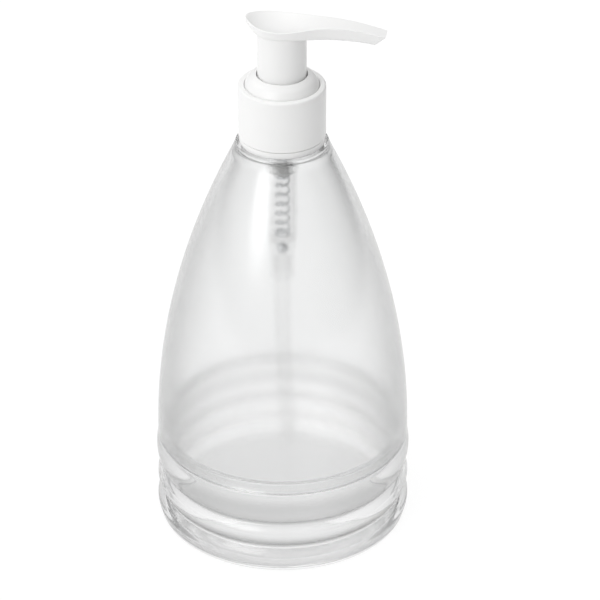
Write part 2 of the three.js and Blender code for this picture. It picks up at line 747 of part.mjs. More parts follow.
const pump = new THREE.Group();
pump.add(neckGasket(), pumpHousing(), chaplet(), stemWiper());
pump.add(ballCage(), inletBall(), returnSpring(), dipTube());

const plunger = new THREE.Group();
plunger.add(piston(), pistonRod(), plungerStem(), outletBall(), actuator());

const dispenser = new THREE.Group();
dispenser.add(bottle, closure, pump, plunger);

export default dispenser;
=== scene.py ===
"""A clear soap bottle on a ribbed base with a white lotion pump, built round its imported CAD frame.

Every length is in metres. Places come from the frame's own nodes, and the sizes that only the
finished surface needs are the dataclass fields of the sub-assembly that uses them.
"""

import logging
import math
from dataclasses import dataclass
from enum import Enum
from typing import Sequence

import bmesh
import bpy
from mathutils import Matrix, Vector


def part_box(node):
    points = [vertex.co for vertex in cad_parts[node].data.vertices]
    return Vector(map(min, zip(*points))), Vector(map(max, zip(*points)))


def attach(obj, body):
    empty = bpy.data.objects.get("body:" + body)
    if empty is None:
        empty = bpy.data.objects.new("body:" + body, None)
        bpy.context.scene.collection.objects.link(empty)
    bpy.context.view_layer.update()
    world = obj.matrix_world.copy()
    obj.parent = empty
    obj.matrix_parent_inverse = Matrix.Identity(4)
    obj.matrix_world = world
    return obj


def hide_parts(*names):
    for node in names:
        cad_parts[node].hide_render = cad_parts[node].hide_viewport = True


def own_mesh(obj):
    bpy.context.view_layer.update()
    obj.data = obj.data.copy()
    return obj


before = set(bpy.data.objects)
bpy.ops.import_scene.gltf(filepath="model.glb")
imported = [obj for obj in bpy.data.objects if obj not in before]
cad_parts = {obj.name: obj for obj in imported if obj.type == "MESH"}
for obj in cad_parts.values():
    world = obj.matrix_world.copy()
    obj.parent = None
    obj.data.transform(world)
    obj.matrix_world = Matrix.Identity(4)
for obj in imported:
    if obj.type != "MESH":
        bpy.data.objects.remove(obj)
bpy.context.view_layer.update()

MM = 0.001
FULL_TURN = 2 * math.pi
PLASTIC_IOR = 1.49
SHARP_ANGLE = 50.0  # degrees between two faces, past which their edge is shaded sharp
THREAD_RUN_IN = 0.08  # turns over which a thread rises from its wall
log = logging.getLogger("soap_dispenser")

Point = tuple[float, float]


# ---------------------------------------------------------------- node graphs


class Graph:
    """A node tree with short calls for the nodes that this script uses often."""

    def __init__(self, tree: bpy.types.NodeTree) -> None:
        """Wraps a node tree and empties it."""
        self.tree = tree
        tree.nodes.clear()

    def add(self, kind: str, inputs: dict | None = None, **settings: object) -> bpy.types.Node:
        """Adds a node.

        Args:
            kind: The node's type name.
            inputs: Values or sockets for its inputs, by input name or index.
            settings: Properties of the node itself.

        Returns:
            The new node.
        """
        node = self.tree.nodes.new(kind)
        for name, value in settings.items():
            setattr(node, name, value)
        for key, value in (inputs or {}).items():
            self.feed(node.inputs[key], value)
        return node

    def feed(self, socket: bpy.types.NodeSocket, value: object) -> None:
        """Links a socket to an input, or writes a plain value on it."""
        if isinstance(value, bpy.types.NodeSocket):
            self.tree.links.new(value, socket)
        else:
            socket.default_value = value

    def calc(self, operation: str, *values: object) -> bpy.types.NodeSocket:
        """Returns the result of one Math node on the given values or sockets."""
        node = self.tree.nodes.new("ShaderNodeMath")
        node.operation = operation
        for socket, value in zip(node.inputs, values):
            self.feed(socket, value)
        return node.outputs[0]

    def smooth_step(self, value: object, low: object, high: object) -> bpy.types.NodeSocket:
        """Returns a smooth rise from 0 to 1 as value goes from low to high."""
        node = self.add(
            "ShaderNodeMapRange",
            {"Value": value, "From Min": low, "From Max": high},
            interpolation_type="SMOOTHSTEP",
        )
        return node.outputs[0]


class GeometryTree(Graph):
    """A Geometry Nodes tree with named inputs, one geometry output and a set material."""

    def __init__(self, name: str, sizes: dict[str, float | int | bool]) -> None:
        """Makes the tree and its interface.

        Args:
            name: The tree's name.
            sizes: The named inputs with their default values.
        """
        super().__init__(bpy.data.node_groups.new(name, "GeometryNodeTree"))
        face = self.tree.interface
        face.new_socket("Geometry", in_out="INPUT", socket_type="NodeSocketGeometry")
        face.new_socket("Geometry", in_out="OUTPUT", socket_type="NodeSocketGeometry")
        kinds = {bool: "NodeSocketBool", int: "NodeSocketInt", float: "NodeSocketFloat"}
        for title, value in sizes.items():
            socket = face.new_socket(title, in_out="INPUT", socket_type=kinds[type(value)])
            socket.default_value = value
        face.new_socket("Material", in_out="INPUT", socket_type="NodeSocketMaterial")
        self.given = self.add("NodeGroupInput").outputs

    def finish(self, geometry: bpy.types.NodeSocket) -> None:
        """Ends the tree: smooth shading, realized instances and the given material."""
        smooth = self.add("GeometryNodeSetShadeSmooth", {"Geometry": geometry})
        real = self.add("GeometryNodeRealizeInstances", {"Geometry": smooth.outputs[0]})
        dressed = self.add(
            "GeometryNodeSetMaterial", {"Geometry": real.outputs[0], "Material": self.given["Material"]}
        )
        self.add("NodeGroupOutput", {"Geometry": dressed.outputs[0]})

    def grow(
        self, name: str, seed_mesh: bpy.types.Mesh, material: bpy.types.Material, **sizes: object
    ) -> bpy.types.Object:
        """Runs the tree on a seed mesh and returns the result as a plain mesh object.

        Args:
            name: The finished piece's name.
            seed_mesh: The mesh that the tree starts from.
            material: The piece's material.
            sizes: Values of the named inputs, with _ for each space.

        Returns:
            The finished object, at the origin, with no modifier.
        """
        seed = bpy.data.objects.new(name + "_seed", seed_mesh)
        bpy.context.scene.collection.objects.link(seed)
        modifier = seed.modifiers.new("grow", "NODES")
        modifier.node_group = self.tree
        values = {title.replace("_", " "): value for title, value in sizes.items()}
        values["Material"] = material
        for item in self.tree.interface.items_tree:
            if item.in_out == "INPUT" and item.name in values:
                modifier[item.identifier] = values[item.name]
        evaluated = seed.evaluated_get(bpy.context.evaluated_depsgraph_get())
        mesh = bpy.data.meshes.new_from_object(evaluated)
        mesh.name = name
        bpy.data.objects.remove(seed)
        piece = bpy.data.objects.new(name, mesh)
        bpy.context.scene.collection.objects.link(piece)
        return piece


def turned_tree() -> GeometryTree:
    """Builds the tree that turns an outline about the Z axis, with an optional screw thread.

    The seed mesh holds the outline's points in the XZ plane, in order. A thread is a ridge along a
    right-handed helix on the wall whose radius is Thread Wall, and a negative depth points inwards.

    Returns:
        The tree.
    """
    tree = GeometryTree(
        "turned_piece",
        {
            "Facets": 96,
            "Closed": True,
            "Thread Depth": 0.0,
            "Thread Wall": 1.0,
            "Thread Pitch": 1.0,
            "Thread Start": 0.0,
            "Thread Turns": 1.0,
            "Thread Crest": 0.001,
            "Thread Root": 0.002,
        },
    )
    given = tree.given
    count = tree.add("GeometryNodeAttributeDomainSize", {"Geometry": given["Geometry"]}).outputs[0]
    closed = tree.calc("ADD", given["Closed"], 0.0)
    rows = tree.calc("ADD", count, closed)
    columns = tree.calc("ADD", given["Facets"], 1.0)
    grid = tree.add(
        "GeometryNodeMeshGrid", {"Size X": 1.0, "Size Y": 1.0, "Vertices X": columns, "Vertices Y": rows}
    )
    place = tree.add("ShaderNodeSeparateXYZ", {0: tree.add("GeometryNodeInputPosition").outputs[0]})
    turn = tree.calc("MULTIPLY", tree.calc("ADD", place.outputs["X"], 0.5), FULL_TURN)
    last_row = tree.calc("SUBTRACT", rows, 1.0)
    along = tree.calc("MULTIPLY", tree.calc("ADD", place.outputs["Y"], 0.5), last_row)
    row = tree.calc("FLOORED_MODULO", tree.calc("ROUND", along), count)
    outline = tree.add(
        "GeometryNodeSampleIndex",
        {"Geometry": given["Geometry"], "Index": row},
        data_type="FLOAT_VECTOR",
        domain="POINT",
    )
    position = tree.add("GeometryNodeInputPosition").outputs[0]
    tree.feed([s for s in outline.inputs if s.name == "Value" and s.enabled][0], position)
    sampled = [s for s in outline.outputs if s.enabled][0]
    spot = tree.add("ShaderNodeSeparateXYZ", {0: sampled})
    radius, height = spot.outputs["X"], spot.outputs["Z"]

    share = tree.calc("DIVIDE", turn, FULL_TURN)
    above_start = tree.calc("SUBTRACT", height, given["Thread Start"])
    rise = tree.calc("DIVIDE", above_start, given["Thread Pitch"])
    level = tree.calc("ROUND", tree.calc("SUBTRACT", rise, share))
    travelled = tree.calc("ADD", level, share)
    turns_away = tree.calc("SUBTRACT", rise, travelled)
    away = tree.calc("ABSOLUTE", tree.calc("MULTIPLY", turns_away, given["Thread Pitch"]))
    flank_low = tree.calc("MULTIPLY", given["Thread Crest"], 0.5)
    flank_high = tree.calc("MULTIPLY", given["Thread Root"], 0.5)
    ridge = tree.calc("SUBTRACT", 1.0, tree.smooth_step(away, flank_low, flank_high))
    run_in = tree.smooth_step(travelled, 0.0, THREAD_RUN_IN)
    left = tree.calc("SUBTRACT", given["Thread Turns"], travelled)
    run_out = tree.smooth_step(left, 0.0, THREAD_RUN_IN)
    off_wall = tree.calc("ABSOLUTE", tree.calc("SUBTRACT", radius, given["Thread Wall"]))
    on_wall = tree.calc("LESS_THAN", off_wall, 0.02 * MM)
    ends = tree.calc("MULTIPLY", run_in, run_out)
    ridge = tree.calc("MULTIPLY", tree.calc("MULTIPLY", ridge, on_wall), ends)
    threaded = tree.calc("ADD", radius, tree.calc("MULTIPLY", ridge, given["Thread Depth"]))

    x = tree.calc("MULTIPLY", threaded, tree.calc("COSINE", turn))
    y = tree.calc("MULTIPLY", threaded, tree.calc("SINE", turn))
    spun = tree.add("ShaderNodeCombineXYZ", {"X": x, "Y": y, "Z": height}).outputs[0]
    moved = tree.add("GeometryNodeSetPosition", {"Geometry": grid.outputs[0], "Position": spun})
    welded = tree.add(
        "GeometryNodeMergeByDistance", {"Geometry": moved.outputs[0], "Distance": 0.001 * MM}
    )
    tree.finish(welded.outputs[0])
    return tree


def coil_tree() -> GeometryTree:
    """Builds the tree that winds a compression spring with closed end coils about the Z axis.

    Returns:
        The tree.
    """
    tree = GeometryTree(
        "wound_spring",
        {
            "Coils": 9.0,
            "Closed Coils": 1.0,
            "Radius": 0.0025,
            "Wire": 0.0007,
            "Bottom": 0.0,
            "Length": 0.02,
            "Steps": 400,
            "Sides": 12,
        },
    )
    given = tree.given
    line = tree.add("GeometryNodeMeshLine", {"Count": given["Steps"]})
    index = tree.add("GeometryNodeInputIndex").outputs[0]
    share = tree.calc("DIVIDE", index, tree.calc("SUBTRACT", given["Steps"], 1.0))
    coil = tree.calc("MULTIPLY", share, given["Coils"])
    turn = tree.calc("MULTIPLY", coil, FULL_TURN)
    last = tree.calc("SUBTRACT", given["Coils"], given["Closed Coils"])
    open_part = tree.add(
        "ShaderNodeMapRange", {"Value": coil, "From Min": given["Closed Coils"], "From Max": last}
    ).outputs[0]
    low = tree.calc("MINIMUM", coil, given["Closed Coils"])
    high = tree.calc("MAXIMUM", tree.calc("SUBTRACT", coil, last), 0.0)
    wound = tree.calc("MULTIPLY", tree.calc("ADD", low, high), given["Wire"])
    closed_height = tree.calc("MULTIPLY", tree.calc("MULTIPLY", given["Closed Coils"], given["Wire"]), 2.0)
    free = tree.calc("SUBTRACT", tree.calc("SUBTRACT", given["Length"], given["Wire"]), closed_height)
    foot = tree.calc("ADD", given["Bottom"], tree.calc("MULTIPLY", given["Wire"], 0.5))
    height = tree.calc("ADD", foot, tree.calc("ADD", wound, tree.calc("MULTIPLY", open_part, free)))
    x = tree.calc("MULTIPLY", given["Radius"], tree.calc("COSINE", turn))
    y = tree.calc("MULTIPLY", given["Radius"], tree.calc("SINE", turn))
    path = tree.add("ShaderNodeCombineXYZ", {"X": x, "Y": y, "Z": height}).outputs[0]
    moved = tree.add("GeometryNodeSetPosition", {"Geometry": line.outputs[0], "Position": path})
    curve = tree.add("GeometryNodeMeshToCurve", {"Mesh": moved.outputs[0]})
    section = tree.add("GeometryNodeCurvePrimitiveCircle", {"Resolution": given["Sides"]})
    wire_radius = tree.calc("MULTIPLY", given["Wire"], 0.5)
    tree.feed([s for s in section.inputs if s.name == "Radius" and s.enabled][0], wire_radius)
    wire = tree.add(
        "GeometryNodeCurveToMesh",
        {"Curve": curve.outputs[0], "Profile Curve": section.outputs[0], "Fill Caps": True},
    )
    tree.finish(wire.outputs[0])
    return tree


# ---------------------------------------------------------------- outlines and meshes


@dataclass(frozen=True)
class Corner:
    """A corner of an outline: its radius from the axis, its height, and the round on it."""

    x: float
    z: float
    round: float = 0.0


def rounded(corners: Sequence[Corner], closed: bool = True, steps: int = 5) -> list[Point]:
    """Turns corners into outline points, with a smooth round at each corner that has one.

    Args:
        corners: The outline's corners, in order.
        closed: Whether the last corner joins the first.
        steps: Segments in each round.

    Returns:
        The outline's points.
    """
    points: list[Point] = []
    count = len(corners)
    for i, corner in enumerate(corners):
        here = Vector((corner.x, corner.z))
        if corner.round <= 0 or (not closed and i in (0, count - 1)):
            points.append((here.x, here.y))
            continue
        before = Vector((corners[i - 1].x, corners[i - 1].z)) - here
        behind = corners[(i + 1) % count]
        after = Vector((behind.x, behind.z)) - here
        reach = min(corner.round, 0.45 * before.length, 0.45 * after.length)
        start = here + before.normalized() * reach
        end = here + after.normalized() * reach
        for k in range(steps + 1):
            t = k / steps
            spot = start * (1 - t) ** 2 + here * (2 * t * (1 - t)) + end * t**2
            points.append((spot.x, spot.y))
    return points


def bow(start: Point, end: Point, bulge: float, steps: int) -> list[Point]:
    """Returns the inner points of a shallow outward bow between two outline points."""
    points = []
    for i in range(1, steps):
        t = i / steps
        x = start[0] + (end[0] - start[0]) * t + bulge * math.sin(math.pi * t)
        points.append((x, start[1] + (end[1] - start[1]) * t))
    return points


def parabola(bottom: Point, top: Point, steps: int) -> list[Point]:
    """Returns points on a parabola that is upright at its bottom end and leans in to its top end."""
    points = []
    for i in range(steps + 1):
        t = i / steps
        points.append((bottom[0] + (top[0] - bottom[0]) * t * t, bottom[1] + (top[1] - bottom[1]) * t))
    return points


def outline_mesh(name: str, points: Sequence[Point]) -> bpy.types.Mesh:
    """Returns a seed mesh of loose outline points in the XZ plane, ordered so that faces point out."""
    area = sum(a[0] * b[1] - b[0] * a[1] for a, b in zip(points, [*points[1:], points[0]]))
    ordered = list(points) if area > 0 else list(reversed(points))
    mesh = bpy.data.meshes.new(name)
    mesh.from_pydata([(x, 0.0, z) for x, z in ordered], [], [])
    return mesh


def mark_sharp(piece: bpy.types.Object, degrees: float) -> None:
    """Marks the edges between faces that meet at more than the given angle as sharp."""
    shape = bmesh.new()
    shape.from_mesh(piece.data)
    limit = math.radians(degrees)
    for face in shape.faces:
        face.smooth = True
    for edge in shape.edges:
        edge.smooth = not (edge.is_manifold and edge.calc_face_angle(0) > limit)
    shape.to_mesh(piece.data)
    shape.free()


def loft(
    name: str, rings: Sequence[Sequence[Vector]], material: bpy.types.Material
) -> bpy.types.Object:
    """Joins rings of equal length into a skin, with a flat cap on each end.

    Args:
        name: The piece's name.
        rings: The rings' points, in order.
        material: The piece's material.

    Returns:
        The new object.
    """
    mesh = bpy.data.meshes.new(name)
    shape = bmesh.new()
    rows = [[shape.verts.new(spot) for spot in ring] for ring in rings]
    size = len(rows[0])
    for near, far in zip(rows, rows[1:]):
        for k in range(size):
            shape.faces.new((near[k], near[(k + 1) % size], far[(k + 1) % size], far[k]))
    shape.faces.new(list(reversed(rows[0])))
    shape.faces.new(rows[-1])
    bmesh.ops.recalc_face_normals(shape, faces=shape.faces)
    shape.to_mesh(mesh)
    shape.free()
    mesh.materials.append(material)
    piece = bpy.data.objects.new(name, mesh)
    bpy.context.scene.collection.objects.link(piece)
    return piece


def subdivide(piece: bpy.types.Object, levels: int) -> None:
    """Applies a subdivision surface to a piece."""
    modifier = piece.modifiers.new("smooth", "SUBSURF")
    modifier.levels = modifier.render_levels = levels
    evaluated = piece.evaluated_get(bpy.context.evaluated_depsgraph_get())
    mesh = bpy.data.meshes.new_from_object(evaluated)
    piece.modifiers.clear()
    piece.data = mesh
    mesh.shade_smooth()


# ---------------------------------------------------------------- finishes


class Haze(Enum):
    """How much a see-through plastic scatters what is behind it."""

    POLISHED = 0.05
    FAINT = 0.15


def object_noise(graph: Graph, scale: float, detail: float = 2.0) -> bpy.types.NodeSocket:
    """Returns a noise pattern in object coordinates, with the given number of cells to a metre."""
    place = graph.add("ShaderNodeTexCoord").outputs["Object"]
    noise = graph.add("ShaderNodeTexNoise", {"Vector": place, "Scale": scale, "Detail": detail})
    return noise.outputs["Fac"]


def spread(graph: Graph, value: bpy.types.NodeSocket, low: float, high: float) -> bpy.types.NodeSocket:
    """Returns a noise value stretched to run from low to high."""
    node = graph.add("ShaderNodeMapRange", {"Value": value, "From Min": 0.15, "From Max": 0.85})
    node.inputs["To Min"].default_value = low
    node.inputs["To Max"].default_value = high
    return node.outputs[0]


@dataclass(frozen=True)
class SolidFinish:
    """A finish that light does not pass: moulded plastic, soft rubber or metal."""

    name: str
    slot: str
    light: tuple[float, float, float]
    dark: tuple[float, float, float]
    roughness: tuple[float, float]
    mottle: float
    grain: float
    grain_depth: float
    metallic: float = 0.0

    def material(self) -> bpy.types.Material:
        """Builds the node material."""
        made = bpy.data.materials.new(self.name)
        made.use_nodes = True
        graph = Graph(made.node_tree)
        cloud = object_noise(graph, self.mottle, 3.0)
        tint = graph.add("ShaderNodeMix", {0: spread(graph, cloud, 0.0, 1.0)}, data_type="RGBA")
        graph.feed(tint.inputs[6], (*self.dark, 1.0))
        graph.feed(tint.inputs[7], (*self.light, 1.0))
        fine = object_noise(graph, self.grain, 4.0)
        bump = graph.add("ShaderNodeBump", {"Height": fine, "Distance": self.grain_depth, "Strength": 0.5})
        shader = graph.add(
            "ShaderNodeBsdfPrincipled",
            {
                "Base Color": tint.outputs[2],
                "Roughness": spread(graph, cloud, *self.roughness),
                "Normal": bump.outputs[0],
                "Metallic": self.metallic,
                "IOR": PLASTIC_IOR,
            },
        )
        graph.add("ShaderNodeOutputMaterial", {"Surface": shader.outputs[0]})
        return made


@dataclass(frozen=True)
class ShadeRing:
    """A soft ring of painted shade on an upright clear piece, standing in for the dark bands that refraction
    makes.
    """

    height: float
    half_width: float
    depth: float


@dataclass(frozen=True)
class ClearFinish:
    """A see-through moulded plastic."""

    name: str
    slot: str
    tint: tuple[float, float, float]
    # Share of the tint left at grazing edges: painted edge shade.
    edge_shade: float
    haze: Haze
    haze_spread: float
    ripple: float
    ripple_depth: float
    edge_power: float = 2.2
    # Soft bands of painted shade, standing in for the dark bands that refraction gives.
    rings: tuple[ShadeRing, ...] = ()

    def painted_ring_shade(self, graph: Graph) -> object:
        """Returns how much the painted shade rings darken the plastic at each height."""
        place = graph.add("ShaderNodeTexCoord").outputs["Object"]
        height = graph.add("ShaderNodeSeparateXYZ", {0: place}).outputs["Z"]
        shade: object = 0.0
        for ring in self.rings:
            away = graph.calc("ABSOLUTE", graph.calc("SUBTRACT", height, ring.height))
            clear = graph.smooth_step(away, 0.0, ring.half_width)
            painted_band = graph.calc("MULTIPLY", graph.calc("SUBTRACT", 1.0, clear), ring.depth)
            shade = graph.calc("ADD", shade, painted_band)
        return shade

    def material(self) -> bpy.types.Material:
        """Builds the node material."""
        made = bpy.data.materials.new(self.name)
        made.use_nodes = True
        graph = Graph(made.node_tree)
        cloud = object_noise(graph, self.ripple, 3.0)
        low = max(0.0, self.haze.value - self.haze_spread)
        bump = graph.add(
            "ShaderNodeBump", {"Height": cloud, "Distance": self.ripple_depth, "Strength": 0.4}
        )
        # Painted shade: darker towards grazing edges, partly for the longer path through the wall, mostly
        # standing in for the dark edges that refraction gives.
        graze = graph.add("ShaderNodeLayerWeight", {"Blend": 0.5}).outputs["Facing"]
        depth = graph.calc("POWER", graze, self.edge_power)
        tint = graph.add("ShaderNodeMix", {0: depth}, data_type="RGBA")
        graph.feed(tint.inputs[6], (*self.tint, 1.0))
        graph.feed(tint.inputs[7], (*(self.edge_shade * c for c in self.tint), 1.0))
        # Painted shade: the colour is mixed towards black in the bands that stand in for refraction.
        shaded = graph.add("ShaderNodeMix", {0: self.painted_ring_shade(graph)}, data_type="RGBA")
        graph.feed(shaded.inputs[6], tint.outputs[2])
        graph.feed(shaded.inputs[7], (0.0, 0.0, 0.0, 1.0))
        shader = graph.add(
            "ShaderNodeBsdfPrincipled",
            {
                "Base Color": shaded.outputs[2],
                "Roughness": spread(graph, cloud, low, self.haze.value + self.haze_spread),
                "Normal": bump.outputs[0],
                "IOR": PLASTIC_IOR,
                "Transmission Weight": 1.0,
            },
        )
        graph.add("ShaderNodeOutputMaterial", {"Surface": shader.outputs[0]})
        return made


@dataclass(frozen=True)
class SheerFinish:
    """A thin natural plastic that veils what is behind it and hardly bends the light."""

    name: str
    slot: str
    light: tuple[float, float, float]
    dark: tuple[float, float, float]
    cover: float
    edge_cover: float
    roughness: tuple[float, float]
    mottle: float
    ripple_depth: float

    def material(self) -> bpy.types.Material:
        """Builds the node material."""
        made = bpy.data.materials.new(self.name)
        made.use_nodes = True
        graph = Graph(made.node_tree)
        cloud = object_noise(graph, self.mottle, 3.0)
        tint = graph.add("ShaderNodeMix", {0: spread(graph, cloud, 0.0, 1.0)}, data_type="RGBA")
        graph.feed(tint.inputs[6], (*self.dark, 1.0))
        graph.feed(tint.inputs[7], (*self.light, 1.0))
        bump = graph.add(
            "ShaderNodeBump", {"Height": cloud, "Distance": self.ripple_depth, "Strength": 0.4}
        )
        graze = graph.add("ShaderNodeLayerWeight", {"Blend": 0.5}).outputs["Facing"]
        cover = graph.add(
            "ShaderNodeMapRange", {"Value": graze, "To Min": self.cover, "To Max": self.edge_cover}
        )
        shader = graph.add(
            "ShaderNodeBsdfPrincipled",
            {
                "Base Color": tint.outputs[2],
                "Roughness": spread(graph, cloud, *self.roughness),
                "Normal": bump.outputs[0],
                "IOR": PLASTIC_IOR,
                "Alpha": cover.outputs[0],
            },
        )
        graph.add("ShaderNodeOutputMaterial", {"Surface": shader.outputs[0]})
        return made


WHITE = SolidFinish(
    name="moulded_white",
    slot="white_plastic",
    light=(0.91, 0.91, 0.905),
    dark=(0.9, 0.9, 0.895),
    roughness=(0.26, 0.36),
    mottle=90.0,
    grain=1400.0,
    grain_depth=0.02 * MM,
)
RUBBER = SolidFinish(
    name="soft_seal",
    slot="seal_rubber",
    light=(0.94, 0.935, 0.93),
    dark=(0.91, 0.905, 0.9),
    roughness=(0.55, 0.7),
    mottle=300.0,
    grain=3000.0,
    grain_depth=0.02 * MM,
)
STEEL = SolidFinish(
    name="drawn_steel",
    slot="steel",
    light=(0.8, 0.81, 0.82),
    dark=(0.7, 0.71, 0.72),
    roughness=(0.22, 0.38),
    mottle=800.0,
    grain=4000.0,
    grain_depth=0.01 * MM,
    metallic=1.0,
)
FROSTED = ClearFinish(
    name="hazed_clear",
    slot="frosted_plastic",
    tint=(0.965, 0.968, 0.968),
    edge_shade=0.24,
    haze=Haze.FAINT,
    haze_spread=0.02,
    ripple=60.0,
    ripple_depth=0.02 * MM,
)
CLEAR = ClearFinish(
    name="polished_clear",
    slot="clear_plastic",
    tint=(0.98, 0.982, 0.982),
    edge_shade=0.06,
    haze=Haze.POLISHED,
    haze_spread=0.02,
    ripple=45.0,
    ripple_depth=0.03 * MM,
    edge_power=1.6,
    # Painted shade bands at fixed heights, standing in for the dark bands that refraction gives in the
    # ribbed base.
    rings=(
        ShadeRing(height=27.5 * MM, half_width=4.5 * MM, depth=0.24),
        ShadeRing(height=19.6 * MM, half_width=2.4 * MM, depth=0.27),
        ShadeRing(height=9.8 * MM, half_width=2.4 * MM, depth=0.25),
    ),
)
NATURAL = SheerFinish(
    name="natural_clear",
    slot="natural_plastic",
    light=(0.93, 0.93, 0.925),
    dark=(0.86, 0.865, 0.865),
    cover=0.04,
    edge_cover=0.16,
    roughness=(0.12, 0.2),
    mottle=250.0,
    ripple_depth=0.02 * MM,
)
SOFT_NATURAL = SheerFinish(
    name="soft_natural",
    slot="seal_rubber",
    light=(0.97, 0.97, 0.965),
    dark=(0.93, 0.93, 0.925),
    cover=0.22,
    edge_cover=0.4,
    roughness=(0.4, 0.5),
    mottle=300.0,
    ripple_depth=0.02 * MM,
)
MILKY = SheerFinish(
    name="milky_tube",
    slot="natural_plastic",
    light=(0.97, 0.97, 0.965),
    dark=(0.93, 0.93, 0.925),
    cover=0.03,
    edge_cover=0.1,
    roughness=(0.25, 0.35),
    mottle=250.0,
    ripple_depth=0.02 * MM,
)


Finish = SolidFinish | ClearFinish | SheerFinish


class Workshop:
    """Holds the shared trees and materials and turns outlines into finished pieces."""

    def __init__(self) -> None:
        """Builds the shared trees and one material for each finish."""
        self.turned = turned_tree()
        self.coil = coil_tree()
        finishes = (WHITE, RUBBER, STEEL, FROSTED, CLEAR, NATURAL, SOFT_NATURAL, MILKY)
        self.materials = {finish.name: finish.material() for finish in finishes}

    def turn(
        self,
        name: str,
        points: Sequence[Point],
        finish: Finish,
        closed: bool = True,
        facets: int = 128,
        **thread: float,
    ) -> bpy.types.Object:
        """Turns an outline into a piece.

        Args:
            name: The piece's name.
            points: The outline.
            finish: The piece's finish.
            closed: False when both ends of the outline are on the axis.
            facets: Facets round the full turn.
            thread: The screw thread's named sizes, if it has one.

        Returns:
            The finished piece.
        """
        seed = outline_mesh(name, points)
        material = self.materials[finish.name]
        piece = self.turned.grow(name, seed, material, Facets=facets, Closed=closed, **thread)
        mark_sharp(piece, SHARP_ANGLE)
        return piece

    def fit(self, piece: bpy.types.Object, body: str, finish: Finish, *nodes: str) -> None:
        """Hangs a piece on its body and lets it stand for its CAD nodes."""
        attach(piece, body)
        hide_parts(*nodes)
        log.info("%s: %d faces, rides on %s", piece.name, len(piece.data.polygons), body)


# ---------------------------------------------------------------- bottle


